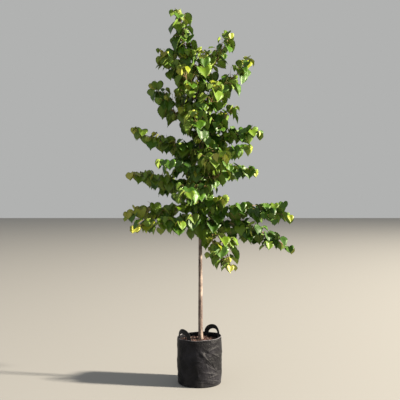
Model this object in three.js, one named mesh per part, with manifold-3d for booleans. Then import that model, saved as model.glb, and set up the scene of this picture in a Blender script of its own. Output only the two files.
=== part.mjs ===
// A young broadleaf tree about 2.5 m tall, standing in the round woven planting bag that it grew in.
// Units are millimetres, +Z is up. The origin is the centre of the bag's flat underside, +X is to the
// right as seen from the front, and the front of the tree faces -Y. Azimuths are measured from +X towards +Y.

import * as THREE from "three";
import { mergeVertices } from "three/addons/utils/BufferGeometryUtils.js";
import Module from "manifold-3d";

const wasm = await Module();
wasm.setup();

// ---------------------------------------------------------------- driving dimensions

const GAP = 0.3; // clearance between two pieces that meet
const SMOOTHING = 0.03; // how far a joined mass may be simplified
const UP = new THREE.Vector3(0, 0, 1);

const BAG = {
  footRadius: 140, // flat part of the underside
  heelRadius: 147, // where the rounded heel meets the wall
  heelHeight: 11,
  heelInset: 6, // how much smaller the floor is inside than the foot
  lowHeight: 60,
  bellyRadius: 151,
  bellyHeight: 130,
  highHeight: 205,
  rimRadius: 147,
  rimRounding: 3,
  height: 318,
  wall: 2.5,
  hemWall: 4, // the folded and stitched top edge
  hemDepth: 26,
  hemFold: 2, // how far the wall thickens above the hem's lower edge
  sides: 32,
};

// How far the soft wall strays from round, as shares of its radius, and how far its rim drops.
const SLUMP = { lobes: 0.014, lobePhase: 0.6, ripples: 0.008, ripplePitch: 70, rimSag: 8, sagAzimuth: 200 };

const SOIL = {
  edgeLevel: 284,
  level: 294,
  seatRadius: 34, // flat round the trunk
  moundRadius: 92,
  moundRise: 5,
  wallGap: 1.6,
  floorInset: 8,
  heelInset: 2,
};

const STRAP = {
  width: 32,
  thickness: 2.6,
  halfSpan: 23, // degrees round the bag from the loop's middle to the middle of each leg
  loopHeight: 44, // middle of the strap at the top of the loop above the rim
  legDepth: 27, // length of each leg that is sewn to the inside of the wall
  legShare: 0.15, // share of the strap in each leg
  lean: 14, // degrees by which the strap lies back at the top of the loop
  standOff: 2.9, // from the wall's round inside to the strap's back
  steps: 20,
};
const HANDLES = [
  { name: "handle_back_right", azimuth: 46 },
  { name: "handle_front_left", azimuth: 217 },
];

const TRUNK = {
  footX: 7,
  lean: 4, // sideways over the straight part
  bendFrom: 1700, // height where the leader begins to swing to the left
  bendReach: 190, // sideways at the tip
  bendPower: 1.5,
  sway: 5,
  swayLength: 420,
  radius: 15.5,
  taperPower: 0.75,
  flare: 5,
  flareHeight: 24,
  top: 2185, // where the trunk ends and the leading shoot goes on
  tip: 2545,
  sides: 10,
  rings: 18,
  ringPower: 1.6, // how much closer the rings are in the flare
};

const LIMB = {
  footRadius: 3.6, // of a shoot that is shortShoot long
  shortShoot: 300,
  thicker: 0.0052, // radius that each further millimetre of length adds at the foot
  tipRadius: 1.9,
  sides: 6,
  lineSteps: 16, // straight pieces of a shoot's line
  stepLength: 84, // between two rings
};

const TWIG = {
  first: 0.14, // where the first side twig leaves, as a share of the shoot's leafy length
  spacing: 0.24, // between two side twigs
  last: 0.72,
  angle: 48,
  angleSpread: [0.75, 1.2], // the least and the most of that angle
  riseSpread: [-24, 32], // degrees above the shoot's own rise
  turn: -18, // how much its rise changes by its tip
  bare: 0.4, // share of its length before its first leaf
  share: 0.46, // its length, as a share of what is left of the shoot
  lengthSpread: [0.8, 1.15],
  longest: 170,
  shortest: 58,
  radius: 2.2,
  tipRadius: 1.8,
  sides: 3,
};

const LEAF = {
  spacing: 51, // along a shoot, one leaf to each side in turn
  firstAfterBough: 6, // from the start of the leafy part to its first leaf
  firstAfterTrunk: 42,
  blade: 96, // from the stalk to the tip
  bladeSpread: [0.88, 1.1],
  footSize: 0.88, // at a shoot's foot, as a share of the blade, and how much it gains along the shoot
  sizeGain: 0.15,
  youngFrom: 0.78, // share of the shoot from which the leaves are young, and how fast they get smaller
  youngLoss: 2.1,
  twigScale: 0.85, // of the leaves on side twigs
  aroundSpread: [-28, 28], // degrees round the stem from straight sideways
  spiral: 47.5, // more degrees round a steep stem from each leaf to the next
  stemPull: 0.5, // how far the stalk points along the stem
  stalkSwing: [-14, 14],
  stalkTilt: 16,
  stalkRise: [-12, 36],
  hang: [34, 72], // degrees by which the blade hangs below level
  faceSwing: [-26, 26],
  roll: [-20, 20],
  widest: [0.47, 0.34], // how far the blade's broadest point lies aside and ahead of the stalk, over its length
  lobe: [0.35, -0.13], // the same for the top of each of the two lobes behind the stalk
  fold: 0.07, // how far the two halves lift from the midrib
  tipDrop: 0.09,
  stalk: 0.36,
  rootRadius: 0.6, // of the stalk where it is sunk in its stem
  stalkRadius: 1.1, // of the stalk at the blade
  freeFrom: 0.45, // share of the stalk that may touch its own mass
  clearance: 0.6, // from any other leaf or limb
};

// Each shoot: the height where it leaves the trunk, its azimuth, its length, its rise above level at the
// trunk, how much that rise changes by the tip, and how long its first bare stretch, the bough, is. A shoot
// without a bough bears leaves from the trunk on.
const SHOOTS = [
  { name: "left_1", height: 1950, azimuth: 190, length: 352, rise: 53, turn: -2, bough: 80 },
  { name: "left_2", height: 1652, azimuth: 172, length: 505, rise: 44, turn: 10, bough: 90 },
  { name: "left_3", height: 1560, azimuth: 187, length: 462, rise: 12, turn: 13, bough: 90 },
  { name: "left_4", height: 1306, azimuth: 175, length: 480, rise: 17, turn: -6, bough: 90 },
  { name: "left_5", height: 1160, azimuth: 190, length: 492, rise: 13, turn: -28, bough: 90 },
  { name: "left_6", height: 1098, azimuth: 207, length: 470, rise: 6, turn: -22, bough: 80 },
  { name: "right_1", height: 1136, azimuth: 351, length: 606, rise: 20, turn: -42, bough: 95 },
  { name: "right_2", height: 1086, azimuth: 6, length: 645, rise: 6, turn: -44, bough: 95 },
  { name: "right_3", height: 1372, azimuth: 4, length: 388, rise: 42, turn: -66, bough: 80 },
  { name: "right_4", height: 1600, azimuth: 352, length: 410, rise: 32, turn: -38, bough: 80 },
  { name: "right_5", height: 1500, azimuth: 324, length: 390, rise: 24, turn: -24, bough: 0 },
  { name: "right_6", height: 1816, azimuth: 12, length: 530, rise: 42, turn: 14, bough: 90 },
  { name: "right_7", height: 1950, azimuth: 22, length: 508, rise: 56, turn: 7, bough: 80 },
  { name: "right_8", height: 1686, azimuth: 338, length: 300, rise: 32, turn: 4, bough: 0 },
  { name: "low_front", height: 1072, azimuth: 316, length: 402, rise: -8, turn: -72, bough: 60 },
  { name: "front_1", height: 1235, azimuth: 258, length: 430, rise: 18, turn: -22, bough: 0 },
  { name: "front_2", height: 1420, azimuth: 290, length: 380, rise: 24, turn: -18, bough: 0 },
  { name: "front_3", height: 1400, azimuth: 230, length: 380, rise: 20, turn: -12, bough: 0 },
  { name: "front_4", height: 1620, azimuth: 262, length: 350, rise: 34, turn: -8, bough: 0 },
  { name: "front_5", height: 1760, azimuth: 300, length: 320, rise: 42, turn: 0, bough: 0 },
  { name: "front_6", height: 1860, azimuth: 238, length: 300, rise: 50, turn: 4, bough: 0 },
  { name: "front_7", height: 1990, azimuth: 312, length: 230, rise: 60, turn: 6, bough: 0 },
  { name: "back_1", height: 1190, azimuth: 92, length: 460, rise: 14, turn: -24, bough: 0 },
  { name: "back_2", height: 1270, azimuth: 136, length: 430, rise: 20, turn: -20, bough: 0 },
  { name: "back_3", height: 1370, azimuth: 50, length: 430, rise: 22, turn: -24, bough: 0 },
  { name: "back_4", height: 1500, azimuth: 108, length: 380, rise: 28, turn: -12, bough: 0 },
  { name: "back_5", height: 1660, azimuth: 66, length: 350, rise: 36, turn: -6, bough: 0 },
  { name: "back_6", height: 1780, azimuth: 126, length: 320, rise: 44, turn: 2, bough: 0 },
  { name: "back_7", height: 1920, azimuth: 84, length: 260, rise: 56, turn: 4, bough: 0 },
  { name: "inner_1", height: 1120, azimuth: 236, length: 250, rise: 4, turn: -20, bough: 0 },
  { name: "inner_2", height: 1190, azimuth: 300, length: 250, rise: 16, turn: -10, bough: 0 },
  { name: "inner_3", height: 1320, azimuth: 318, length: 240, rise: 30, turn: -8, bough: 0 },
  { name: "inner_4", height: 1490, azimuth: 200, length: 240, rise: 38, turn: 0, bough: 0 },
  { name: "inner_5", height: 1540, azimuth: 18, length: 230, rise: 40, turn: 0, bough: 0 },
  { name: "inner_6", height: 1700, azimuth: 212, length: 200, rise: 48, turn: 0, bough: 0 },
  { name: "inner_7", height: 1830, azimuth: 340, length: 230, rise: 54, turn: 4, bough: 0 },
  { name: "inner_10", height: 1270, azimuth: 268, length: 230, rise: 44, turn: 0, bough: 0 },
  { name: "inner_11", height: 1430, azimuth: 280, length: 250, rise: 56, turn: 0, bough: 0 },
  { name: "inner_8", height: 2040, azimuth: 200, length: 200, rise: 60, turn: 4, bough: 0 },
  { name: "inner_9", height: 2060, azimuth: 20, length: 210, rise: 62, turn: 6, bough: 0 },
];
const LEADER = { name: "leader", length: 345, rise: 78, turn: 4, azimuth: 182 };

const COLOURS = {
  bag: { color: 0x1f1f21, roughness: 0.62 },
  webbing: { color: 0x171412, roughness: 0.8 },
  soil: { color: 0x3a2a20, roughness: 0.95 },
  bark: { color: 0x8d765f, roughness: 0.85 },
  leaf: { color: 0x4c7a2c, roughness: 0.55 },
};

// ---------------------------------------------------------------- small tools

const radians = THREE.MathUtils.degToRad;

// A repeatable run of numbers from 0 to 1.
class Dice {
  constructor(seed) {
    this.state = (seed * 7919 + 104729) % 2147483647;
  }
  roll() {
    this.state = (this.state * 48271) % 2147483647;
    return this.state / 2147483647;
  }
  between(low, high) {
    return low + (high - low) * this.roll();
  }
}

// The direction with that azimuth and that rise above level, in degrees.
function heading(azimuth, rise) {
  const a = radians(azimuth);
  const r = radians(rise);
  return new THREE.Vector3(Math.cos(a) * Math.cos(r), Math.sin(a) * Math.cos(r), Math.sin(r));
}

// A closed solid from a geometry whose vertices are merged by place.
function solidOf(geometry) {
  const bare = geometry.clone();
  bare.deleteAttribute("normal");
  bare.deleteAttribute("uv");
  const merged = mergeVertices(bare, 1e-4);
  const vertProperties = new Float32Array(merged.attributes.position.array);
  const triVerts = new Uint32Array(merged.index.array);
  return new wasm.Manifold(new wasm.Mesh({ numProp: 3, vertProperties, triVerts }));
}

// A geometry from a solid.
function geometryOf(solid) {
  const mesh = solid.getMesh();
  const geometry = new THREE.BufferGeometry();
  geometry.setAttribute("position", new THREE.BufferAttribute(mesh.vertProperties, 3));
  geometry.setIndex(new THREE.BufferAttribute(mesh.triVerts, 1));
  geometry.computeVertexNormals();
  return geometry;
}

// The largest body of a solid: what a join leaves loose is dropped.
function largestBody(solid) {
  return solid.decompose().reduce((best, body) => (body.volume() > best.volume() ? body : best));
}

function meshOf(name, geometry, finish) {
  const mesh = new THREE.Mesh(geometry, new THREE.MeshStandardMaterial({ metalness: 0, ...finish }));
  mesh.name = name;
  return mesh;
}

// Moves every vertex of a geometry to where place(vertex) puts it.
function reshape(geometry, place) {
  const position = geometry.attributes.position;
  const vertex = new THREE.Vector3();
  for (let i = 0; i < position.count; i++) {
    vertex.fromBufferAttribute(position, i);
    const moved = place(vertex);
    position.setXYZ(i, moved.x, moved.y, moved.z);
  }
  return geometry;
}

// ---------------------------------------------------------------- bag and soil

// How far out the slumped wall stands from round, as a factor, at an azimuth in radians and a height.
function slumpFactor(angle, z) {
  const free = THREE.MathUtils.smoothstep(z, BAG.heelHeight, BAG.bellyHeight);
  const lobes = SLUMP.lobes * Math.sin(2 * angle + SLUMP.lobePhase);
  const ripples = SLUMP.ripples * Math.sin(5 * angle + z / SLUMP.ripplePitch);
  return 1 + free * (lobes + ripples);
}

// Takes a point of a round bag to its place on the slumped one.
function slumped(point) {
  const angle = Math.atan2(point.y, point.x);
  const factor = slumpFactor(angle, point.z);
  const free = THREE.MathUtils.smoothstep(point.z, BAG.height - BAG.hemDepth, BAG.height);
  const sag = SLUMP.rimSag * free * (0.5 + 0.5 * Math.cos(angle - radians(SLUMP.sagAzimuth)));
  return new THREE.Vector3(point.x * factor, point.y * factor, point.z - sag);
}

// The wall's heights and outer radii, from the heel to the rim.
const WALL_LEVELS = [
  [BAG.heelRadius, BAG.heelHeight],
  [BAG.bellyRadius - 1, BAG.lowHeight],
  [BAG.bellyRadius, BAG.bellyHeight],
  [BAG.bellyRadius - 0.5, BAG.highHeight],
  [BAG.bellyRadius - 2, SOIL.edgeLevel],
  [BAG.rimRadius + 1, BAG.height - BAG.hemDepth],
];

// A lathe about +Z from a profile of [radius, height] pairs.
function lathe(profile, sides) {
  const points = profile.map(([r, z]) => new THREE.Vector2(r, z));
  return new THREE.LatheGeometry(points, sides).rotateX(Math.PI / 2);
}

function bagGeometry() {
  const outer = [
    [0, 0],
    [BAG.footRadius, 0],
    ...WALL_LEVELS,
    [BAG.rimRadius, BAG.height - BAG.rimRounding],
    [BAG.rimRadius - 1, BAG.height],
  ];
  const inner = [
    [BAG.rimRadius - BAG.hemWall, BAG.height],
    [BAG.rimRadius - BAG.hemWall, BAG.height - BAG.hemDepth + BAG.hemFold],
    ...WALL_LEVELS.slice(1, 5)
      .reverse()
      .map(([r, z]) => [r - BAG.wall, z]),
    [BAG.footRadius, BAG.heelHeight],
    [BAG.footRadius - BAG.heelInset, BAG.wall],
    [0, BAG.wall],
  ];
  return reshape(lathe([...outer, ...inner], BAG.sides), slumped);
}

function soilGeometry() {
  const floor = BAG.wall + GAP;
  const side = WALL_LEVELS.slice(1, 5).map(([r, z]) => [r - BAG.wall - SOIL.wallGap, z]);
  const profile = [
    [0, floor],
    [BAG.footRadius - SOIL.floorInset, floor],
    [BAG.footRadius - SOIL.heelInset, BAG.heelHeight],
    ...side,
    [SOIL.moundRadius, SOIL.edgeLevel + SOIL.moundRise],
    [SOIL.seatRadius, SOIL.level],
    [0, SOIL.level],
  ];
  return reshape(lathe(profile, BAG.sides), slumped);
}

// ---------------------------------------------------------------- handles

// The share of the loop that lies behind u: 0 on the first leg and 1 on the second.
function loopShare(u) {
  return THREE.MathUtils.clamp((u - STRAP.legShare) / (1 - 2 * STRAP.legShare), 0, 1);
}

function strapHeight(u) {
  const leg = Math.min(u, 1 - u, STRAP.legShare) / STRAP.legShare;
  return BAG.height - STRAP.legDepth * (1 - leg) + STRAP.loopHeight * Math.sin(Math.PI * loopShare(u));
}

// The middle line of a handle's strap at u from 0 to 1, up one leg, over the loop and down the other.
function strapPoint(azimuth, u) {
  const around = radians(azimuth + STRAP.halfSpan * Math.cos(Math.PI * loopShare(u)));
  const z = strapHeight(u);
  const inside = (BAG.rimRadius - BAG.hemWall) * slumpFactor(around, Math.min(z, BAG.height));
  const radius = inside - STRAP.standOff - STRAP.thickness / 2;
  return new THREE.Vector3(radius * Math.cos(around), radius * Math.sin(around), z);
}

// A flat strap swept along its line. Its legs lie against the wall's inside, and over the loop it leans back.
function handleGeometry(azimuth) {
  const box = new THREE.BoxGeometry(STRAP.width, 1, STRAP.thickness, 1, STRAP.steps, 1);
  return reshape(box, (v) => {
    const u = v.y + 0.5;
    const middle = strapPoint(azimuth, u);
    const along = strapPoint(azimuth, u + 1e-3).sub(strapPoint(azimuth, u - 1e-3)).normalize();
    const outward = new THREE.Vector3(middle.x, middle.y, 0).normalize();
    const lean = radians(STRAP.lean) * Math.sin(Math.PI * loopShare(u));
    const face = outward.multiplyScalar(Math.cos(lean)).addScaledVector(UP, Math.sin(lean));
    face.addScaledVector(along, -face.dot(along)).normalize();
    const across = new THREE.Vector3().crossVectors(along, face);
    return middle.addScaledVector(across, v.x).addScaledVector(face, v.z);
  });
}

// ---------------------------------------------------------------- limbs

// The trunk's axis at a height.
function trunkAxis(z) {
  const up = (z - SOIL.level) / (TRUNK.tip - SOIL.level);
  const bend = Math.max(0, (z - TRUNK.bendFrom) / (TRUNK.tip - TRUNK.bendFrom));
  const x = TRUNK.footX - TRUNK.lean * up - TRUNK.bendReach * bend ** TRUNK.bendPower;
  const y = TRUNK.sway * Math.sin((z - SOIL.level) / TRUNK.swayLength);
  return new THREE.Vector3(x, y, z);
}

function trunkRadius(z) {
  const up = (z - SOIL.level) / (TRUNK.tip - SOIL.level);
  const flare = TRUNK.flare * Math.exp(-(z - SOIL.level) / TRUNK.flareHeight);
  return TRUNK.radius * (1 - up) ** TRUNK.taperPower + flare;
}

// A tapered tube bent along a line. at(s) gives the point and the direction at distance s.
function tube({ at, radiusAt, from, to, sides, steps, ringAt = (t) => t }) {
  const cylinder = new THREE.CylinderGeometry(1, 1, 1, sides, steps);
  return reshape(cylinder, (v) => {
    const s = from + (to - from) * ringAt(v.y + 0.5);
    const { point, direction } = at(s);
    const side = Math.abs(direction.z) > 0.97 ? new THREE.Vector3(1, 0, 0) : UP.clone();
    const a = new THREE.Vector3().crossVectors(direction, side).normalize();
    const c = new THREE.Vector3().crossVectors(a, direction);
    const r = radiusAt(s);
    return point.clone().addScaledVector(a, v.x * r).addScaledVector(c, v.z * r);
  });
}

// The trunk, with its rings level and closer together in the flare. extra widens it all over.
function trunkGeometry(extra = 0) {
  const level = (z) => ({ point: trunkAxis(z), direction: UP });
  return tube({
    at: level,
    radiusAt: (z) => trunkRadius(z) + extra,
    from: SOIL.level + GAP,
    to: TRUNK.top + extra,
    sides: TRUNK.sides,
    steps: TRUNK.rings,
    ringAt: (t) => t ** TRUNK.ringPower,
  });
}

// A shoot: a line whose azimuth stays and whose rise changes evenly from foot to tip.
class Shoot {
  constructor({ foot, azimuth, length, rise, turn, footRadius, tipRadius }) {
    Object.assign(this, { azimuth, length, rise, turn, footRadius, tipRadius });
    this.points = [foot.clone()];
    const step = length / LIMB.lineSteps;
    for (let i = 0; i < LIMB.lineSteps; i++) {
      const next = this.points[i].clone().addScaledVector(this.directionAt((i + 0.5) * step), step);
      this.points.push(next);
    }
  }
  directionAt(s) {
    return heading(this.azimuth, this.rise + (this.turn * s) / this.length);
  }
  pointAt(s) {
    const place = THREE.MathUtils.clamp(s / this.length, 0, 1) * LIMB.lineSteps;
    const i = Math.min(Math.floor(place), LIMB.lineSteps - 1);
    return this.points[i].clone().lerp(this.points[i + 1], place - i);
  }
  radiusAt(s) {
    return this.tipRadius + (this.footRadius - this.tipRadius) * (1 - s / this.length);
  }
  // The solid between two distances along the shoot.
  solid(from, to, sides) {
    const steps = Math.max(1, Math.round((to - from) / LIMB.stepLength));
    const at = (s) => ({ point: this.pointAt(s), direction: this.directionAt(s) });
    return solidOf(tube({ at, radiusAt: (s) => this.radiusAt(s), from, to, sides, steps }));
  }
}

// ---------------------------------------------------------------- leaves

// The direction that points sideways from a stem, turned round it from level by an angle.
function aroundStem(stem, angle) {
  const level = Math.hypot(stem.x, stem.y) > 0.05 ? stem : new THREE.Vector3(1, 0, stem.z);
  const side = new THREE.Vector3().crossVectors(level, UP).normalize();
  const top = new THREE.Vector3().crossVectors(side, stem).normalize();
  const a = radians(angle);
  return side.multiplyScalar(Math.cos(a)).addScaledVector(top, Math.sin(a));
}

// Where a leaf stands: its root in the stem, the joint of stalk and blade, and the blade's own axes.
// The stalk leaves the stem sideways and almost level, and the blade hangs from it with its face outward.
function leafPlace(dice, root, stem, around, blade) {
  const sideways = aroundStem(stem, around);
  const mixed = stem.clone().multiplyScalar(LEAF.stemPull).add(sideways);
  const flat = Math.hypot(mixed.x, mixed.y) > 0.1 ? mixed : stem;
  const azimuth = THREE.MathUtils.radToDeg(Math.atan2(flat.y, flat.x));
  const swing = dice.between(...LEAF.stalkSwing);
  const stalk = heading(azimuth + swing, LEAF.stalkTilt * mixed.z + dice.between(...LEAF.stalkRise));
  const hang = dice.between(...LEAF.hang);
  const face = azimuth + dice.between(...LEAF.faceSwing);
  const roll = dice.between(...LEAF.roll);
  return { root, stalk, hang, face, roll, blade };
}

// The leaf's solid: a three-sided stalk and a heart-shaped blade that is folded along its midrib. from is
// the share of the stalk that is left out at the root.
function leafSolid({ root, stalk, hang, face, roll, blade }, from = 0) {
  const along = heading(face, -hang);
  const normal = heading(face, 90 - hang).applyAxisAngle(along, radians(roll));
  const across = new THREE.Vector3().crossVectors(along, normal);
  const joint = root.clone().addScaledVector(stalk, LEAF.stalk * blade);
  const bent = stalk.clone().add(along).normalize();
  const ringX = across.clone().addScaledVector(bent, -across.dot(bent)).normalize();
  const ringUp = new THREE.Vector3().crossVectors(ringX, bent);
  const ring = (centre, radius) =>
    [[0, 1], [-0.87, -0.5], [0.87, -0.5]].map(([x, up]) =>
      centre.clone().addScaledVector(ringX, x * radius).addScaledVector(ringUp, up * radius),
    );
  const spot = ([x, y], z) =>
    joint
      .clone()
      .addScaledVector(across, x * blade)
      .addScaledVector(along, y * blade)
      .addScaledVector(normal, z * blade);
  const mirrored = ([x, y]) => [-x, y];
  const points = [
    ...ring(root.clone().lerp(joint, from), LEAF.rootRadius),
    ...ring(joint, LEAF.stalkRadius),
    spot(mirrored(LEAF.lobe), LEAF.fold / 2),
    spot(mirrored(LEAF.widest), LEAF.fold),
    spot([0, 1], -LEAF.tipDrop),
    spot(LEAF.widest, LEAF.fold),
    spot(LEAF.lobe, LEAF.fold / 2),
  ];
  const geometry = new THREE.BufferGeometry().setFromPoints(points);
  geometry.setIndex(LEAF_FACES.flat());
  return solidOf(geometry);
}

// The leaf's faces. Its points are the stalk's root (top, left, right), its joint with the blade (top, left,
// right), the left lobe, the left edge, the tip, the right edge and the right lobe.
const LEAF_FACES = [
  [0, 1, 2],
  [0, 4, 1],
  [0, 3, 4],
  [1, 5, 2],
  [1, 4, 5],
  [2, 3, 0],
  [2, 5, 3],
  [3, 6, 4],
  [3, 7, 6],
  [3, 8, 7],
  [3, 9, 8],
  [3, 10, 9],
  [3, 5, 10],
  [4, 6, 7],
  [4, 7, 8],
  [4, 8, 5],
  [5, 8, 9],
  [5, 9, 10],
];

// Everything that stands already, so that a new leaf or twig can keep clear of it.
class Standing {
  constructor() {
    this.pieces = [];
  }
  add(solid, owner) {
    this.pieces.push({ solid, owner, box: solid.boundingBox() });
  }
  // Whether a solid comes within reach of anything that isn't its owner's.
  blocks(solid, owner, reach) {
    const box = solid.boundingBox();
    return this.pieces.some(
      (p) =>
        p.owner !== owner &&
        [0, 1, 2].every((k) => p.box.min[k] - reach < box.max[k] && box.min[k] - reach < p.box.max[k]) &&
        p.solid.minGap(solid, reach) < reach,
    );
  }
}

// ---------------------------------------------------------------- growing the crown

// The turns that are tried in order: how much further the blade hangs, and how far it turns about the upright.
const LEAF_TRIES = [
  [0, 0],
  [14, 24],
  [-14, -24],
  [26, -40],
  [-24, 40],
  [6, 70],
  [10, -70],
  [34, 10],
];

// The leaf's size at a share of the way along a shoot: full for the most part, and young at the tip.
function leafSize(share) {
  const grown = LEAF.footSize + LEAF.sizeGain * share;
  return LEAF.blade * (share < LEAF.youngFrom ? grown : 1 - LEAF.youngLoss * (share - LEAF.youngFrom));
}

// The leaves of a stem, from one distance to its tip: one to each side in turn, and one at the tip.
function leavesAlong(dice, stem, from, sizeScale) {
  const places = [];
  const steep = Math.abs(Math.sin(radians(stem.rise + stem.turn / 2))) ** 2;
  const count = Math.max(1, Math.round((stem.length - from) / LEAF.spacing));
  for (let i = 0; i <= count; i++) {
    const s = Math.min(from + ((stem.length - from) * i) / count, stem.length - 2);
    const around = (i % 2 ? 0 : 180) + dice.between(...LEAF.aroundSpread) + steep * i * LEAF.spiral;
    const blade = leafSize(s / stem.length) * sizeScale * dice.between(...LEAF.bladeSpread);
    places.push(leafPlace(dice, stem.pointAt(s), stem.directionAt(s), around, blade));
  }
  return places;
}

// The side twigs of a shoot, left and right in turn, shorter towards the tip.
function sideTwigs(dice, shoot, from) {
  const twigs = [];
  const leafy = shoot.length - from;
  for (let i = 0, share = TWIG.first; share < TWIG.last; i++, share += TWIG.spacing) {
    const s = from + leafy * share;
    const side = i % 2 ? 1 : -1;
    const length = Math.min(TWIG.longest, TWIG.share * (shoot.length - s)) * dice.between(...TWIG.lengthSpread);
    const azimuth = shoot.azimuth + side * TWIG.angle * dice.between(...TWIG.angleSpread);
    const rise = shoot.rise + (shoot.turn * s) / shoot.length + dice.between(...TWIG.riseSpread);
    if (length < TWIG.shortest) continue;
    twigs.push(
      new Shoot({
        foot: shoot.pointAt(s),
        azimuth,
        length,
        rise,
        turn: TWIG.turn,
        footRadius: TWIG.radius,
        tipRadius: TWIG.tipRadius,
      }),
    );
  }
  return twigs;
}

// The leaf of that place, turned a little if it must be so as to keep clear of all that stands, or none.
// Its root alone may touch its own mass.
function fittingLeaf(standing, place, owner) {
  for (const [more, turned] of LEAF_TRIES) {
    const tried = { ...place, hang: place.hang + more, face: place.face + turned };
    const leaf = leafSolid(tried);
    if (standing.blocks(leaf, owner, LEAF.clearance)) continue;
    if (standing.blocks(leafSolid(tried, LEAF.freeFrom), "", LEAF.clearance)) continue;
    standing.add(leaf, `${owner} leaf`);
    return leaf;
  }
  return null;
}

function growTree() {
  const group = new THREE.Group();
  const standing = new Standing();
  const trunk = solidOf(trunkGeometry());
  const trunkSpace = solidOf(trunkGeometry(GAP));
  standing.add(trunk, "trunk");
  group.add(meshOf("trunk", geometryOf(trunk), COLOURS.bark));

  const crown = SHOOTS.map((row, index) => {
    const radius = LIMB.footRadius + LIMB.thicker * (row.length - LIMB.shortShoot);
    const foot = trunkAxis(row.height);
    const shoot = new Shoot({ ...row, foot, footRadius: radius, tipRadius: LIMB.tipRadius });
    return { name: row.name, bough: row.bough, shoot, seed: index + 1 };
  });
  const leaderFoot = { foot: trunkAxis(TRUNK.top), footRadius: trunkRadius(TRUNK.top) };
  const leader = new Shoot({ ...LEADER, ...leaderFoot, tipRadius: LIMB.tipRadius });
  crown.unshift({ name: LEADER.name, bough: 0, shoot: leader, seed: SHOOTS.length + 1 });

  for (const part of crown) {
    const { shoot, name, bough } = part;
    part.from = bough ? bough + GAP : GAP;
    if (bough) {
      const limb = shoot.solid(0, bough, LIMB.sides).subtract(trunkSpace);
      standing.add(limb, name);
      group.add(meshOf(`bough_${name}`, geometryOf(largestBody(limb)), COLOURS.bark));
    }
    const stem = shoot.solid(part.from, shoot.length, TWIG.sides);
    part.stem = bough ? stem : largestBody(stem.subtract(trunkSpace));
    standing.add(part.stem, name);
  }

  for (const part of crown) {
    const { shoot, name } = part;
    part.dice = new Dice(part.seed);
    part.pieces = [part.stem];
    const bare = part.bough || name === LEADER.name ? LEAF.firstAfterBough : LEAF.firstAfterTrunk;
    const leafFrom = part.from + bare;
    part.leaves = leavesAlong(part.dice, shoot, leafFrom, 1);
    for (const twig of sideTwigs(part.dice, shoot, leafFrom)) {
      const solid = twig.solid(0, twig.length, TWIG.sides);
      const leaves = leavesAlong(part.dice, twig, twig.length * TWIG.bare, LEAF.twigScale);
      if (standing.blocks(solid, name, LEAF.clearance)) continue;
      standing.add(solid, name);
      part.pieces.push(solid);
      part.leaves.push(...leaves);
    }
  }

  for (const part of crown) {
    for (const place of part.leaves) {
      const leaf = fittingLeaf(standing, place, part.name);
      if (leaf) part.pieces.push(leaf);
    }
    const mass = largestBody(wasm.Manifold.union(part.pieces)).simplify(SMOOTHING);
    group.add(meshOf(`foliage_${part.name}`, geometryOf(mass), COLOURS.leaf));
  }
  return group;
}

// ---------------------------------------------------------------- the whole part

const sapling = growTree();
sapling.add(meshOf("planting_bag", bagGeometry(), COLOURS.bag));
sapling.add(meshOf("soil", soilGeometry(), COLOURS.soil));
for (const { name, azimuth } of HANDLES) {
  sapling.add(meshOf(name, handleGeometry(azimuth), COLOURS.webbing));
}

export default sapling;
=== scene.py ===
"""Looks of a young broadleaf tree that stands in the round woven bag it grew in.

Lengths are millimetres in this file and become metres when a mesh is made. The frame is the solids' own:
the origin is the centre of the bag's flat underside, +Z is up, +X is to the right as seen from the front,
and the front faces -Y. Angles are degrees, and azimuths run from +X towards +Y.
"""

import logging
import math
from collections.abc import Callable
from dataclasses import dataclass, field, replace
from enum import Enum

import bpy
import numpy as np
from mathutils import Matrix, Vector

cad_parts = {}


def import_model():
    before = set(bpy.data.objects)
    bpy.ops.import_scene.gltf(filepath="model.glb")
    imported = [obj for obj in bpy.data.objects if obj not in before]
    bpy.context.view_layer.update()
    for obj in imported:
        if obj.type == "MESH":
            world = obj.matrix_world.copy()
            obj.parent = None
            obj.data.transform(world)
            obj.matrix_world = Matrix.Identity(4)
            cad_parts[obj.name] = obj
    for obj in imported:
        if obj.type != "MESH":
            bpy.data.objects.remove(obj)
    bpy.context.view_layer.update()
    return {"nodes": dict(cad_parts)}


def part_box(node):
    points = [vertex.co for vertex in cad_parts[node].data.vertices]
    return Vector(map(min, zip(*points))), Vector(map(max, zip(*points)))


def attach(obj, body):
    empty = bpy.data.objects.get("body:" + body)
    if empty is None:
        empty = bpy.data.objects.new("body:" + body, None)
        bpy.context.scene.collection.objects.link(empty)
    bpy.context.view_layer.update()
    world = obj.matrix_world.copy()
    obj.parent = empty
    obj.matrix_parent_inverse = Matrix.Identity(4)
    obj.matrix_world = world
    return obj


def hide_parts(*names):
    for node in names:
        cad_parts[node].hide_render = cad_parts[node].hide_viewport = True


LOG = logging.getLogger("sapling")
MM = 0.001
BODY = "root"
UP = np.array((0.0, 0.0, 1.0))
Array = np.ndarray
Material = bpy.types.Material
Piece = bpy.types.Object
Colour = tuple[int, int, int]
Pair = tuple[float, float]
Triple = tuple[float, float, float]
Socket = bpy.types.NodeSocket


# ---- small tools


def smooth_step(value: Array | float, low: float, high: float) -> Array | float:
    """Returns 0 up to a low value, 1 from a high one on, and a smooth rise between them."""
    share = np.clip((value - low) / (high - low), 0.0, 1.0)
    return share * share * (3.0 - 2.0 * share)


def unit(vector: Array) -> Array:
    """Returns a vector, or each row of vectors, at length 1."""
    return vector / np.linalg.norm(vector, axis=-1, keepdims=True)


def heading(azimuth: float, rise: float) -> Array:
    """Returns the direction, of length 1, that has an azimuth and an angle above level."""
    around, up = math.radians(azimuth), math.radians(rise)
    return np.array((math.cos(around) * math.cos(up), math.sin(around) * math.cos(up), math.sin(up)))


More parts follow.
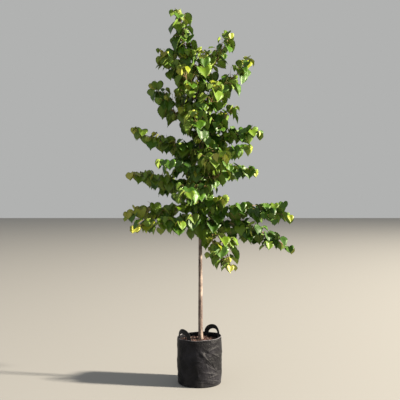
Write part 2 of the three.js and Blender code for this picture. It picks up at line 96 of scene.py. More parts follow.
def turned(vector: Array, axis: Array, angle: float) -> Array:
    """Returns a vector turned about an axis of length 1, by an angle in degrees."""
    cosine, sine = math.cos(math.radians(angle)), math.sin(math.radians(angle))
    return vector * cosine + np.cross(axis, vector) * sine + axis * np.dot(axis, vector) * (1.0 - cosine)


def linear(colour: Colour) -> tuple[float, float, float, float]:
    """Returns an 8-bit screen colour as the linear RGBA that a shader's socket takes."""
    parts = np.array(colour) / 255.0
    return (*np.where(parts <= 0.04045, parts / 12.92, ((parts + 0.055) / 1.055) ** 2.4).tolist(), 1.0)


def round_angles(sides: int) -> Array:
    """Returns the angles of a ring's points, in radians."""
    return np.arange(sides) * 2.0 * math.pi / sides


def angle_from(angle: Array, middle: float) -> Array:
    """Returns how far angles lie from a middle one, in radians from minus half a turn to half a turn."""
    return np.mod(angle - middle + math.pi, 2.0 * math.pi) - math.pi


def round_points(reach: Array | float, angle: Array, height: Array | float) -> Array:
    """Returns points from their distance to the upright axis, their angle round it and their height."""
    return np.stack(np.broadcast_arrays(reach * np.cos(angle), reach * np.sin(angle), height), axis=-1)


class Dice:
    """A repeatable run of numbers from 0 to 1, the same run for the same seed."""

    MODULUS = 2147483647

    def __init__(self, seed: int) -> None:
        """Starts the run that belongs to a seed."""
        self.state = (seed * 7919 + 104729) % self.MODULUS

    def roll(self) -> float:
        """Returns the next number of the run."""
        self.state = self.state * 48271 % self.MODULUS
        return self.state / self.MODULUS

    def between(self, low: float, high: float) -> float:
        """Returns the next number of the run, spread from low to high."""
        return low + (high - low) * self.roll()


@dataclass(frozen=True)
class Ripples:
    """Smooth seeded unevenness on a round wall, the same after a whole turn.

    turns is the most waves round the wall, and wave the shortest wave up it.
    """

    seed: int
    count: int
    turns: int
    wave: float

    def at(self, angle: Array, height: Array) -> Array:
        """Reads the unevenness.

        Args:
            angle: places round the wall, in radians.
            height: places up the wall.

        Returns:
            Values of about -1 to 1.
        """
        draw = np.random.default_rng(self.seed)
        total = np.zeros(np.broadcast(angle, height).shape)
        for _ in range(self.count):
            around = int(draw.integers(-self.turns, self.turns + 1))
            upward = draw.uniform(-1.0, 1.0) * 2.0 * math.pi / self.wave
            total += np.sin(around * angle + upward * height + draw.uniform(0.0, 2.0 * math.pi))
        return total / math.sqrt(self.count)


# ---- meshes


@dataclass
class Shape:
    """Points with faces between them. Each array of faces holds faces with the same number of corners."""

    points: Array
    faces: list[Array]
    slots: list[Array] | None = None


def loft(rings: Array) -> Shape:
    """Skins rings of points and closes each end with a fan.

    Args:
        rings: the points, as (rings, points in a ring, 3). Seen from the last ring they run anticlockwise.

    Returns:
        One closed shape whose faces point outwards.
    """
    count, sides, _ = rings.shape
    points = np.vstack((rings.reshape(-1, 3), rings[0].mean(axis=0), rings[-1].mean(axis=0)))
    row = np.arange(count - 1)[:, None] * sides
    here = np.arange(sides)
    after = (here + 1) % sides
    quads = np.stack((row + here, row + after, row + sides + after, row + sides + here), axis=-1)
    first = np.full(sides, count * sides)
    top = (count - 1) * sides
    low_fan = np.stack((first, after, here), axis=-1)
    high_fan = np.stack((first + 1, top + here, top + after), axis=-1)
    return Shape(points, [quads.reshape(-1, 4), np.vstack((low_fan, high_fan))])


def tube(path: Array, radii: Array, sides: int) -> Shape:
    """Makes a closed tube along a path.

    Args:
        path: the middle line, as (points, 3).
        radii: the radius at each point, or at each side of each point.
        sides: how many sides a ring has.

    Returns:
        The tube's shape.
    """
    along = unit(np.gradient(path, axis=0))
    start = UP if abs(along[0][2]) < 0.9 else np.array((1.0, 0.0, 0.0))
    side = unit(np.cross(along[0], start))
    angles = round_angles(sides)
    rings = np.empty((len(path), sides, 3))
    reach = radii[:, None] if radii.ndim == 1 else radii
    for index, direction in enumerate(along):
        side = unit(side - direction * np.dot(side, direction))
        other = np.cross(direction, side)
        spokes = np.cos(angles)[:, None] * side + np.sin(angles)[:, None] * other
        rings[index] = path[index] + spokes * np.broadcast_to(reach[index], sides)[:, None]
    return loft(rings)


# The rings of a bud, a stitch or a crumb: their places along it and their shares of its radius.
EGG_SHARES = np.array((-0.5, -0.36, -0.05, 0.28, 0.5))
EGG_SWELL = np.array((0.12, 0.68, 1.0, 0.62, 0.1))


def egg(centre: Array, along: Array, length: float, radius: float, sides: int = 6) -> Shape:
    """Returns a small closed egg whose length lies along a direction of length 1."""
    return tube(centre + EGG_SHARES[:, None] * length * along, EGG_SWELL * radius, sides)


@dataclass
class Gathered:
    """Many small shapes gathered into one mesh."""

    points: list[Array] = field(default_factory=list)
    corners: list[Array] = field(default_factory=list)
    sizes: list[Array] = field(default_factory=list)
    slots: list[Array] = field(default_factory=list)
    total: int = 0

    def add(self, shape: Shape, slot: int | list[Array] = 0) -> None:
        """Adds a shape.

        Args:
            shape: the shape, in millimetres.
            slot: its finish's number in the mesh, or a number for each face of each array.
        """
        for index, faces in enumerate(shape.faces):
            if not len(faces):
                continue
            self.corners.append(faces.ravel() + self.total)
            self.sizes.append(np.full(len(faces), faces.shape[1]))
            self.slots.append(slot[index] if isinstance(slot, list) else np.full(len(faces), slot))
        self.points.append(shape.points)
        self.total += len(shape.points)

    def build(self, name: str, finishes: list[Material], sharp: float = 0.0) -> Piece:
        """Makes the object.

        Args:
            name: the piece's name.
            finishes: the materials, in the order of the slots.
            sharp: the angle above which an edge stays sharp, or 0 for none.

        Returns:
            The piece, riding on the body.
        """
        mesh = bpy.data.meshes.new(name)
        points = np.concatenate(self.points) * MM
        corners = np.concatenate(self.corners)
        sizes = np.concatenate(self.sizes)
        mesh.vertices.add(len(points))
        mesh.vertices.foreach_set("co", points.astype(np.float32).ravel())
        mesh.loops.add(len(corners))
        mesh.loops.foreach_set("vertex_index", corners.astype(np.int32))
        mesh.polygons.add(len(sizes))
        starts = np.concatenate(([0], np.cumsum(sizes)[:-1]))
        mesh.polygons.foreach_set("loop_start", starts.astype(np.int32))
        mesh.polygons.foreach_set("material_index", np.concatenate(self.slots).astype(np.int32))
        mesh.update(calc_edges=True)
        for finish in finishes:
            mesh.materials.append(finish)
        mesh.shade_smooth()
        if sharp:
            mesh.set_sharp_from_angle(angle=math.radians(sharp))
        piece = bpy.data.objects.new(name, mesh)
        bpy.context.scene.collection.objects.link(piece)
        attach(piece, BODY)
        LOG.info("%s: %d triangles", name, np.sum(sizes - 2))
        return piece


# ---- finishes


class Graph:
    """A material's node tree, with short calls for the nodes that the finishes share."""

    def __init__(self, name: str, base: Colour, roughness: float, specular: float = 0.5) -> None:
        """Makes a material whose shader has those plain values.

        Args:
            name: the material's name.
            base: its colour.
            roughness: its roughness.
            specular: its specular level.
        """
        self.material = bpy.data.materials.new(name)
        self.material.use_nodes = True
        self.tree = self.material.node_tree
        self.shader = self.tree.nodes["Principled BSDF"]
        self.shader.inputs["Base Color"].default_value = linear(base)
        self.shader.inputs["Roughness"].default_value = roughness
        self.shader.inputs["Specular IOR Level"].default_value = specular
        self.place = self.tree.nodes.new("ShaderNodeTexCoord").outputs["Object"]

    def set(self, socket: Socket, value: object) -> None:
        """Feeds a socket.

        Args:
            socket: the socket.
            value: an output to link to it, or a plain value to write.
        """
        if isinstance(value, Socket):
            self.tree.links.new(value, socket)
        else:
            socket.default_value = value

    def node(self, kind: str, given: dict, output: str | int, **settings: str) -> Socket:
        """Adds a node.

        Args:
            kind: its type, without the common prefix.
            given: what each of its sockets takes, an output or a plain value.
            output: which of its outputs is wanted.
            settings: its own options.

        Returns:
            The output.
        """
        node = self.tree.nodes.new(f"ShaderNode{kind}")
        for name, setting in settings.items():
            setattr(node, name, setting)
        for socket, value in given.items():
            self.set(node.inputs[socket], value)
        return node.outputs[output]

    def stretched(self, scale: Triple) -> Socket:
        """Returns the place on the object, multiplied along each axis."""
        return self.node("Mapping", {"Scale": scale, "Vector": self.place}, "Vector")

    def noise(self, scale: float, detail: float = 4.0, rough: float = 0.55, at: object = None) -> Socket:
        """Adds cloudy noise.

        Args:
            scale: waves in a metre.
            detail: how many finer waves are added.
            rough: how strong those are.
            at: where to read it, or None for the place on the object.

        Returns:
            The noise, about 0.3 to 0.7.
        """
        place = self.place if at is None else at
        given = {"Scale": scale, "Detail": detail, "Roughness": rough, "Vector": place}
        return self.node("TexNoise", given, "Fac")

    def cells(self, scale: float, feature: str = "DISTANCE_TO_EDGE", at: object = None) -> Socket:
        """Returns the distance pattern of scattered cells, with that many cells in a metre."""
        place = self.place if at is None else at
        return self.node("TexVoronoi", {"Scale": scale, "Vector": place}, "Distance", feature=feature)

    def math(self, operation: str, first: object, second: object = 0.0) -> Socket:
        """Returns the result of one Math node."""
        return self.node("Math", {0: first, 1: second}, 0, operation=operation)

    def spread(self, value: object, low: float, high: float, to_low: float, to_high: float) -> Socket:
        """Returns a value taken from one range to another and held inside it."""
        return self.node("MapRange", dict(enumerate((value, low, high, to_low, to_high))), "Result")

    def mixed(self, share: object, *colours: object) -> Socket:
        """Returns a mix of two colours, each a colour or an output."""
        first, second = (linear(given) if isinstance(given, tuple) else given for given in colours)
        return self.node("Mix", {"Factor": share, 6: first, 7: second}, 2, data_type="RGBA")

    def chosen(self, choice: object, first: object, second: object) -> Socket:
        """Returns the first number where choice is 0 and the second where it is 1."""
        return self.node("Mix", {0: choice, 2: first, 3: second}, 0, data_type="FLOAT")

    def bump(self, height: object, distance: float, strength: float = 1.0) -> None:
        """Gives the surface fine relief on top of any it has.

        Args:
            height: the relief, from 0 to 1.
            distance: how high a relief of 1 stands, in millimetres.
            strength: the share of it that shows.
        """
        given = {"Distance": distance * MM, "Strength": strength, "Height": height}
        below = self.shader.inputs["Normal"]
        if below.is_linked:
            given["Normal"] = below.links[0].from_socket
        self.set(below, self.node("Bump", given, "Normal"))

    def paint(self, colour: object) -> None:
        """Gives the shader a colour that varies."""
        self.set(self.shader.inputs["Base Color"], colour)

    def gloss(self, value: object, low: float, high: float) -> None:
        """Gives the shader a roughness that varies between two numbers with a value of 0.3 to 0.7."""
        self.set(self.shader.inputs["Roughness"], self.spread(value, 0.3, 0.7, low, high))


@dataclass(frozen=True)
class BladeFinish:
    """One side of a leaf: a plain colour, with fine veins and cells in its relief and gloss."""

    name: str
    colour: Colour
    roughness: float
    relief: float

    def material(self) -> Material:
        """Makes the material.

        Returns:
            The material.
        """
        graph = Graph(self.name, self.colour, self.roughness, 0.4)
        net = graph.spread(graph.cells(230.0), 0.0, 0.16, 0.0, 1.0)
        graph.bump(net, self.relief, 0.5)
        graph.bump(graph.noise(900.0, 3.0), self.relief * 0.5, 0.5)
        graph.gloss(graph.noise(60.0, 3.0), self.roughness - 0.08, self.roughness + 0.12)
        return graph.material


@dataclass(frozen=True)
class BarkFinish:
    """Smooth young bark with pale breathing pores and faint stripes."""

    name: str = "young_bark"
    base: Colour = (108, 92, 85)
    shade: Colour = (62, 48, 46)
    film: Colour = (168, 152, 140)
    pore: Colour = (190, 170, 150)
    moss: Colour = (100, 98, 74)

    def material(self) -> Material:
        """Makes the material.

        Returns:
            The material.
        """
        graph = Graph(self.name, self.base, 0.78, 0.35)
        stripes = graph.noise(1.0, 5.0, 0.6, graph.stretched((150.0, 150.0, 16.0)))
        blotches = graph.noise(14.0, 4.0)
        colour = graph.mixed(graph.spread(stripes, 0.38, 0.62, 0.0, 1.0), self.shade, self.base)
        colour = graph.mixed(graph.spread(blotches, 0.46, 0.66, 0.0, 0.75), colour, self.film)
        green = graph.noise(5.0, 3.0, 0.5, graph.stretched((1.0, 1.0, 0.5)))
        colour = graph.mixed(graph.spread(green, 0.54, 0.7, 0.0, 0.35), colour, self.moss)
        pores = graph.cells(1.0, "F1", graph.stretched((110.0, 110.0, 330.0)))
        spots = graph.spread(pores, 0.16, 0.3, 1.0, 0.0)
        colour = graph.mixed(graph.math("MULTIPLY", spots, 0.7), colour, self.pore)
        graph.paint(colour)
        graph.bump(stripes, 0.5, 0.6)
        graph.bump(spots, 0.35, 0.6)
        graph.bump(graph.noise(1400.0, 3.0), 0.12, 0.5)
        graph.gloss(blotches, 0.66, 0.9)
        return graph.material


@dataclass(frozen=True)
class TwigFinish:
    """This year's wood: a thin shining rind from red-brown to green."""

    name: str
    base: Colour
    tint: Colour
    roughness: float = 0.55

    def material(self) -> Material:
        """Makes the material.

        Returns:
            The material.
        """
        graph = Graph(self.name, self.base, self.roughness)
        drift = graph.noise(24.0, 3.0)
        colour = graph.mixed(graph.spread(drift, 0.38, 0.62, 0.0, 1.0), self.base, self.tint)
        specks = graph.spread(graph.cells(420.0, "F1"), 0.1, 0.24, 0.35, 0.0)
        graph.paint(graph.mixed(specks, colour, (214, 196, 160)))
        graph.bump(graph.noise(700.0, 3.0), 0.15, 0.6)
        graph.gloss(drift, self.roughness - 0.06, self.roughness + 0.14)
        return graph.material


@dataclass(frozen=True)
class FabricFinish:
    """The bag's cloth, woven from flat black plastic tapes, with dust near the ground and scuffs strewn at
    random.
    """

    name: str = "woven_bag_cloth"
    base: Colour = (17, 17, 19)
    worn: Colour = (50, 49, 55)
    dust: Colour = (54, 53, 54)
    tape: float = 2.3
    radius: float = 150.0

    def material(self) -> Material:
        """Makes the material.

        Returns:
            The material.
        """
        graph = Graph(self.name, self.base, 0.5, 0.11)
        parts = graph.tree.nodes.new("ShaderNodeSeparateXYZ")
        graph.set(parts.inputs[0], graph.place)
        turn = graph.math("ARCTAN2", parts.outputs[1], parts.outputs[0])
        around = graph.math("MULTIPLY", turn, self.radius * MM)
        tapes = math.pi / (self.tape * MM)
        warp = graph.math("SINE", graph.math("MULTIPLY", around, tapes))
        weft = graph.math("SINE", graph.math("MULTIPLY", parts.outputs[2], tapes))
        over = graph.math("GREATER_THAN", graph.math("MULTIPLY", warp, weft), 0.0)
        rise = graph.chosen(over, graph.math("ABSOLUTE", warp), graph.math("ABSOLUTE", weft))
        rubbed = graph.noise(9.0, 5.0, 0.6)
        colour = graph.mixed(graph.spread(rubbed, 0.45, 0.7, 0.0, 0.6), self.base, self.worn)
        colour = graph.mixed(graph.math("MULTIPLY", rise, 0.12), colour, self.worn)
        low = graph.spread(parts.outputs[2], 0.0, 0.075, 1.0, 0.0)
        grime = graph.spread(graph.noise(26.0, 5.0, 0.65), 0.44, 0.66, 0.0, 0.6)
        colour = graph.mixed(graph.math("MULTIPLY", low, grime), colour, self.dust)
        graph.paint(colour)
        graph.bump(rise, 0.5, 0.5)
        graph.bump(graph.noise(30.0, 4.0), 7.0, 0.9)
        graph.bump(graph.noise(95.0, 3.0), 1.6, 0.7)
        graph.gloss(rubbed, 0.36, 0.52)
        return graph.material


@dataclass(frozen=True)
class WebbingFinish:
    """The handles' strap: black yarn in close ribs along the strap."""

    name: str = "black_webbing"
    base: Colour = (17, 16, 17)
    worn: Colour = (40, 39, 40)

    def material(self) -> Material:
        """Makes the material.

        Returns:
            The material.
        """
        graph = Graph(self.name, self.base, 0.8, 0.3)
        ribs = graph.cells(620.0, "F1")
        colour = graph.mixed(graph.spread(ribs, 0.1, 0.6, 0.4, 0.0), self.base, self.worn)
        fluff = graph.noise(120.0, 4.0, 0.6)
        graph.paint(graph.mixed(graph.spread(fluff, 0.5, 0.7, 0.0, 0.5), colour, self.worn))
        graph.bump(ribs, 0.7, 0.8)
        graph.bump(graph.noise(1800.0, 2.0), 0.2, 0.6)
        graph.gloss(fluff, 0.7, 0.92)
        graph.shader.inputs["Sheen Weight"].default_value = 0.06
        return graph.material


@dataclass(frozen=True)
class GrainFinish:
    """Compost, bark chips or thread: a rough broken colour."""

    name: str
    base: Colour
    other: Colour
    scale: float
    relief: float
    roughness: float = 0.9

    def material(self) -> Material:
        """Makes the material.

        Returns:
            The material.
        """
        graph = Graph(self.name, self.base, self.roughness, 0.25)
        broken = graph.noise(self.scale, 6.0, 0.65)
        graph.paint(graph.mixed(graph.spread(broken, 0.4, 0.62, 0.0, 1.0), self.base, self.other))
        graph.bump(broken, self.relief, 0.8)
        graph.bump(graph.noise(self.scale * 6.0, 3.0), self.relief * 0.3, 0.7)
        graph.gloss(broken, self.roughness - 0.12, min(1.0, self.roughness + 0.06))
        return graph.material


class Tone(Enum):
    """The greens that sprays are dealt, as the colours of a leaf's top and underside."""

    DEEP = ((43, 76, 8), (73, 101, 28))
    MATURE = ((60, 95, 12), (93, 121, 36))
    FRESH = ((87, 114, 20), (117, 138, 50))
    BRIGHT = ((123, 134, 22), (152, 160, 62))
    YOUNG = ((152, 153, 60), (175, 179, 102))

    def finishes(self) -> tuple[BladeFinish, BladeFinish]:
        """Returns the finishes of a leaf's top and underside."""
        name, (top, under) = f"leaf_{self.name.lower()}", self.value
        return BladeFinish(name, top, 0.43, 0.3), BladeFinish(f"{name}_under", under, 0.66, 0.45)


TWIG_WOOD = TwigFinish("twig_rind", (132, 92, 62), (112, 112, 62))
STALK_RIND = TwigFinish("leaf_stalk", (172, 150, 88), (168, 110, 78), 0.45)
# The hem's top edge: pale scuffed cloth together with a painted highlight where the edge catches the light.
RIM_SCUFF_AND_HIGHLIGHT = GrainFinish("rim_scuff_and_painted_highlight", (74, 73, 78), (128, 125, 130), 60.0, 0.4, 0.6)
HEM_THREAD = GrainFinish("hem_thread", (44, 44, 46), (70, 69, 70), 900.0, 0.3, 0.7)
COMPOST = GrainFinish("compost", (38, 27, 23), (64, 46, 38), 90.0, 2.0)
CHIP_FINISHES = (
    GrainFinish("bark_chip_red", (62, 38, 35), (92, 64, 60), 120.0, 0.8),
    GrainFinish("bark_chip_dark", (38, 28, 26), (60, 44, 40), 140.0, 0.8),
    GrainFinish("bark_chip_pale", (142, 122, 114), (106, 86, 80), 120.0, 0.8),
)


# ---- trunk and limbs


@dataclass
class Stem:
    """A line whose azimuth stays and whose rise changes evenly from foot to tip."""

    foot: Array
    azimuth: float
    length: float
    rise: float
    turn: float
    foot_radius: float
    tip_radius: float
    steps: int = 16
    points: Array = field(init=False)

    def __post_init__(self) -> None:
        """Works out the line's points."""
        step = self.length / self.steps
        moves = np.array([self.direction_at((index + 0.5) * step) for index in range(self.steps)]) * step
        self.points = np.vstack((self.foot, self.foot + np.cumsum(moves, axis=0)))

    def direction_at(self, distance: float) -> Array:
        """Returns the line's direction at a distance from its foot."""
        return heading(self.azimuth, self.rise + self.turn * distance / self.length)

    def points_at(self, distances: Array | float) -> Array:
        """Returns the line's points at distances from its foot."""
        place = np.clip(np.asarray(distances) / self.length, 0.0, 1.0) * self.steps
        return np.stack([np.interp(place, np.arange(self.steps + 1), line) for line in self.points.T], -1)

    def radius_at(self, distances: Array | float) -> Array | float:
        """Returns the stem's radius at distances from its foot."""
        return self.tip_radius + (self.foot_radius - self.tip_radius) * (1.0 - distances / self.length)


@dataclass
class Trunk:
    """The straight young trunk, with its flare, the lean of its leader and the bark's relief."""

    foot_x: float = 7.0
    lean: float = 4.0
    bend_from: float = 1700.0
    bend_reach: float = 190.0
    bend_power: float = 1.5
    sway: float = 5.0
    sway_length: float = 420.0
    girth: float = 15.5
    taper_power: float = 0.75
    flare: float = 5.0
    flare_height: float = 24.0
    soil_level: float = 294.0
    sunk: float = 10.0
    top: float = 2185.0
    tip: float = 2545.0
    sides: int = 44
    ring_gap: float = 2.6
    pores: int = 620
    pore_size: Triple = (0.55, 2.6, 1.5)
    pores_from: float = 290.0
    scars: int = 9
    scar_size: Triple = (1.5, 5.5, 6.5)
    scar_heights: Pair = (380.0, 1060.0)

    def axis(self, height: Array | float) -> Array:
        """Reads the trunk's middle line.

        Args:
            height: one height or an array.

        Returns:
            The middle there.
        """
        up = (height - self.soil_level) / (self.tip - self.soil_level)
        bend = np.maximum(0.0, (height - self.bend_from) / (self.tip - self.bend_from))
        x = self.foot_x - self.lean * up - self.bend_reach * bend**self.bend_power
        y = self.sway * np.sin((height - self.soil_level) / self.sway_length)
        return np.stack((x, y, height + 0.0 * up), axis=-1)

    def radius(self, height: Array | float) -> Array | float:
        """Reads the trunk's taper.

        Args:
            height: one height or an array.

        Returns:
            The radius there, without the bark's relief.
        """
        above = height - self.soil_level
        up = above / (self.tip - self.soil_level)
        flare = self.flare * np.exp(-np.maximum(above, 0.0) / self.flare_height)
        return self.girth * (1.0 - np.maximum(up, 0.0)) ** self.taper_power + flare

    def relief(self, angle: Array, height: Array, limbs: list[Stem]) -> Array:
        """Works out how far the bark stands out from the plain taper.

        Args:
            angle: places round the trunk, in radians.
            height: places up it.
            limbs: what grows from it, each with a collar under it.

        Returns:
            The relief in millimetres.
        """
        size = self.radius(height)
        close = Ripples(seed=11, count=9, turns=9, wave=60.0).at(angle, height)
        slow = Ripples(seed=12, count=6, turns=3, wave=150.0).at(angle, height)
        out = 0.28 * close + 0.45 * slow
        toes = smooth_step(height, self.soil_level + 46.0, self.soil_level)
        out = out + toes * 1.8 * np.sin(5.0 * angle + 0.8)
        draw = np.random.default_rng(13)
        spots = [(*self.pore_size, draw.uniform(self.pores_from, self.top)) for _ in range(self.pores)]
        spots += [(*self.scar_size, draw.uniform(*self.scar_heights)) for _ in range(self.scars)]
        rings = height[:, 0]
        for tall, wide, high, middle in spots:
            azimuth = draw.uniform(0.0, 2.0 * math.pi)
            near = slice(*np.searchsorted(rings, (middle - 3.5 * high, middle + 3.5 * high)))
            across = angle_from(angle, azimuth) * size[near]
            off = (across / wide) ** 2 + ((height[near] - middle) / high) ** 2
            hollow = 1.3 * tall * np.exp(-4.5 * off) if high == self.scar_size[2] else 0.0
            out[near] += tall * np.exp(-off) - hollow
        for limb in limbs:
            middle = limb.foot[2] + 5.0
            across = angle_from(angle, math.radians(limb.azimuth)) * size
            off = (across / (1.5 * limb.foot_radius)) ** 2
            drop = np.where(height < middle, (height - middle) / 17.0, (height - middle) / 8.0) ** 2
            out += 0.36 * limb.foot_radius * np.exp(-off - drop)
        return out

    def build(self, limbs: list[Stem]) -> Piece:
        """Makes the trunk.

        Args:
            limbs: what grows from it.

        Returns:
            The piece that stands for the trunk.
        """
        height = np.arange(self.soil_level - self.sunk, self.top + self.ring_gap, self.ring_gap)[:, None]
        angle = round_angles(self.sides)[None, :]
        reach = self.radius(height) + self.relief(angle, height, limbs)
        middle = self.axis(height[:, 0])[:, None, :]
        gathered = Gathered()
        gathered.add(loft(middle + round_points(reach, angle, 0.0)))
        piece = gathered.build("trunk_bark", [BarkFinish().material()])
        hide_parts("trunk")
        return piece


# ---- leaves


@dataclass(frozen=True)
class LeafShape:
    """A heart-shaped toothed blade, one long from its stalk to its tip, with quilted veins.

    margin is half its outline, from the stalk round one lobe to the tip.
    """

    fold: float
    wave: float
    lean: float
    seed: int
    margin: tuple[Pair, ...] = (
        (0.0, 0.0), (0.065, -0.07), (0.165, -0.13), (0.295, -0.145), (0.425, -0.10), (0.52, 0.0),
        (0.575, 0.15), (0.58, 0.31), (0.53, 0.46), (0.435, 0.59), (0.315, 0.70), (0.19, 0.78),
        (0.09, 0.84), (0.038, 0.90), (0.014, 0.96), (0.0, 1.02)
    )
    rows: int = 22
    columns: int = 3
    tooth: float = 0.017
    thickness: float = 0.007
    quilt: float = 0.011

    def half_margin(self) -> Array:
        """Spaces half the outline evenly and cuts its teeth.

        Returns:
            The points, from the stalk to the tip.
        """
        bare = np.array(self.margin)
        lengths = np.concatenate(([0.0], np.cumsum(np.linalg.norm(np.diff(bare, axis=0), axis=1))))
        places = np.linspace(0.0, lengths[-1], self.rows + 1)
        fine = np.linspace(0.0, lengths[-1], 400)
        smooth = np.stack([np.interp(fine, lengths, bare[:, axis]) for axis in (0, 1)], axis=-1)
        kernel = np.ones(25) / 25.0
        padded = np.pad(smooth, ((12, 12), (0, 0)), mode="edge")
        smooth = np.stack([np.convolve(padded[:, axis], kernel, mode="valid") for axis in (0, 1)], axis=-1)
        line = np.stack([np.interp(places, fine, smooth[:, axis]) for axis in (0, 1)], axis=-1)
        line[0] = bare[0]
        line[-1] = bare[-1]
        along = unit(np.gradient(line, axis=0))
        outward = np.stack((along[:, 1], -along[:, 0]), axis=-1)
        draw = np.random.default_rng(self.seed)
        index = np.arange(self.rows + 1)
        bite = np.where(index % 2 == 0, 1.0, -0.55) * (1.0 + 0.4 * draw.uniform(-1.0, 1.0, self.rows + 1))
        fade = np.clip(np.minimum(index / 4.0, (self.rows - index) / 3.0), 0.0, 1.0)
        return line + outward * (self.tooth * bite * fade)[:, None]

    def relief(self, x: Array, y: Array, row: int, column: int) -> float:
        """Works out how far a point of the blade stands off its flat.

        Args:
            x: how far it lies to the side, without a sign.
            y: how far it lies ahead of the stalk.
            row: its row, from stalk to tip.
            column: its column, from midrib to margin.

        Returns:
            The height as a share of the blade's length.
        """
        open_v = self.fold * (math.hypot(x, 0.06) - 0.06) / 0.42
        hang = -0.22 * x * x
        ripple = self.wave * math.sin(0.9 * row + self.seed) * (column / self.columns) ** 2
        vein = self.quilt * (0.5 if row % 2 else -0.5) * math.sin(math.pi * min(1.0, (column + 0.35) / 3.2))
        rib = -0.008 if column == 0 else 0.0
        return open_v + hang + ripple + vein + rib

    def shape(self) -> Shape:
        """Makes the blade as a thin closed shape.

        Returns:
            The shape, with slot 0 on its top and 1 on its underside.
        """
        margin = self.half_margin()
        points: list[Triple] = []
        known: dict[tuple, int] = {}

        def corner(row: int, column: int, side: int, under: bool) -> int:
            """Finds a point of the grid, and adds it where it is new.

            Args:
                row: its row, from stalk to tip.
                column: its column, from midrib to margin.
                side: 1 or -1, for the half of the blade.
                under: whether it is on the underside.

            Returns:
                The point's number.
            """
            share = row / self.rows
            rib = max(0.0, (share - 0.32) / 0.68) ** 1.2
            spot = np.array((0.0, rib)) + (margin[row] - np.array((0.0, rib))) * (column / self.columns)
            joint = column == 0 and (row <= 1 or rib == 0.0)
            tip = row == self.rows
            edge = joint or tip or row == 1 or column == self.columns
            if joint:
                spot = np.zeros(2)
            place = (row, column, 0 if column == 0 else side)
            key = ("joint" if joint else "tip" if tip else place, under and not edge)
            if key in known:
                return known[key]
            height = self.relief(spot[0], spot[1], row, 0 if joint or tip else column)
            if not edge:
                height += self.thickness * (-0.5 if under else 0.5)
            points.append((side * spot[0], spot[1], height))
            known[key] = len(points) - 1
            return known[key]

        faces: dict[int, list[list[int]]] = {3: [], 4: []}
        sides: dict[int, list[int]] = {3: [], 4: []}
        for side in (1, -1):
            for under in (False, True):
                for row in range(1, self.rows):
                    for column in range(self.columns):
                        ring = [
                            corner(row, column, side, under),
                            corner(row, column + 1, side, under),
                            corner(row + 1, column + 1, side, under),
                            corner(row + 1, column, side, under),
                        ]
                        if (side < 0) != under:
                            ring.reverse()
                        lean = [spot for index, spot in enumerate(ring) if spot != ring[index - 1]]
                        if len(lean) > 2:
                            faces[len(lean)].append(lean)
                            sides[len(lean)].append(int(under))
        arrays = [np.array(faces[size], dtype=int).reshape(-1, size) for size in (3, 4)]
        slots = [np.array(sides[size], dtype=int) for size in (3, 4)]
        placed = np.array(points)
        placed[:, 0] += self.lean * placed[:, 1] ** 2
        return Shape(placed, arrays, slots)


@dataclass
class LeafPlace:
    """Where a leaf stands and how its blade hangs from its stalk."""

    root: Array
    stalk: Array
    hang: float
    face: float
    roll: float
    blade: float
    tone: Tone = Tone.MATURE

    def frame(self) -> tuple[Array, Array]:
        """Works out where the blade hangs.

        Returns:
            The joint of stalk and blade, and the blade's axes across, along and off its face.
        """
        along = heading(self.face, -self.hang)
        normal = turned(heading(self.face, 90.0 - self.hang), along, self.roll)
        joint = self.root + self.stalk * Foliage.STALK * self.blade
        return joint, np.array((np.cross(along, normal), along, normal))

    def samples(self) -> Array:
        """Returns the points that stand for the blade where room is looked for."""
        joint, axes = self.frame()
        return joint + (BLADE_SAMPLES * self.blade) @ axes


BLADE_SAMPLES = np.array(
    (
        (0.0, 0.05, 0.0),
        *((side * 0.24, -0.04, 0.02) for side in (1, -1)),
        *((side * 0.46, 0.16, 0.06) for side in (1, -1)),
        *((side * 0.2, 0.3, 0.02) for side in (1, -1)),
        *((side * 0.43, 0.46, 0.04) for side in (1, -1)),
        (0.0, 0.58, -0.02),
        *((side * 0.19, 0.74, -0.04) for side in (1, -1)),
        (0.0, 1.0, -0.09),
    )
)


@dataclass
class Space:
    """What stands in the crown already, so that a new leaf keeps clear of it."""

    TRUNK_ROOM = 4.0
    STEM_ROOM = 6.5
    LEAF_ROOM = 10.5
    FINE_ROOM = 9.0
    TIP_ROOM = 7.0
    STEM_STEP = 14.0
    NEAR = 118.0

    trunk: Trunk
    leaves: Array = field(default_factory=lambda: np.empty((0, len(BLADE_SAMPLES), 3)))
    stems: Array = field(default_factory=lambda: np.empty((0, 3)))

    def add_stem(self, stem: Stem) -> None:
        """Takes in a stem as points along it."""
        self.stems = np.vstack((self.stems, stem.points_at(np.arange(0.0, stem.length, self.STEM_STEP))))

    def blocks(self, samples: Array, low: Array, high: Array, room: float) -> bool:
        """Says whether a blade has no room.

        Args:
            samples: the blade's points.
            low: the lowest corner of its reach.
            high: the highest one.
            room: the least distance from another leaf.

        Returns:
            True if it leaves its reach or comes too near something.
        """
        if (samples < low).any() or (samples > high).any():
            return True
        heights = np.minimum(samples[:, 2], self.trunk.top)
        off = np.linalg.norm((samples - self.trunk.axis(heights))[:, :2], axis=1)
        bark = self.trunk.radius(heights).max() + self.TRUNK_ROOM
        if (off[samples[:, 2] < self.trunk.top + 10.0] < bark).any():
            return True
        middle = samples[5:7].mean(axis=0)
        stems = self.stems[np.linalg.norm(self.stems - middle, axis=1) < self.NEAR]
        if len(stems) and np.linalg.norm(stems[:, None] - samples[2:], axis=2).min() < self.STEM_ROOM:
            return True
        near = self.leaves[np.linalg.norm(self.leaves[:, 5] - middle, axis=1) < self.NEAR].reshape(-1, 3)
        return bool(len(near)) and np.linalg.norm(near[:, None] - samples, axis=2).min() < room

    def add_leaf(self, samples: Array) -> None:
        """Takes in a blade's points."""
        self.leaves = np.concatenate((self.leaves, samples[None]))


# ---- the crown


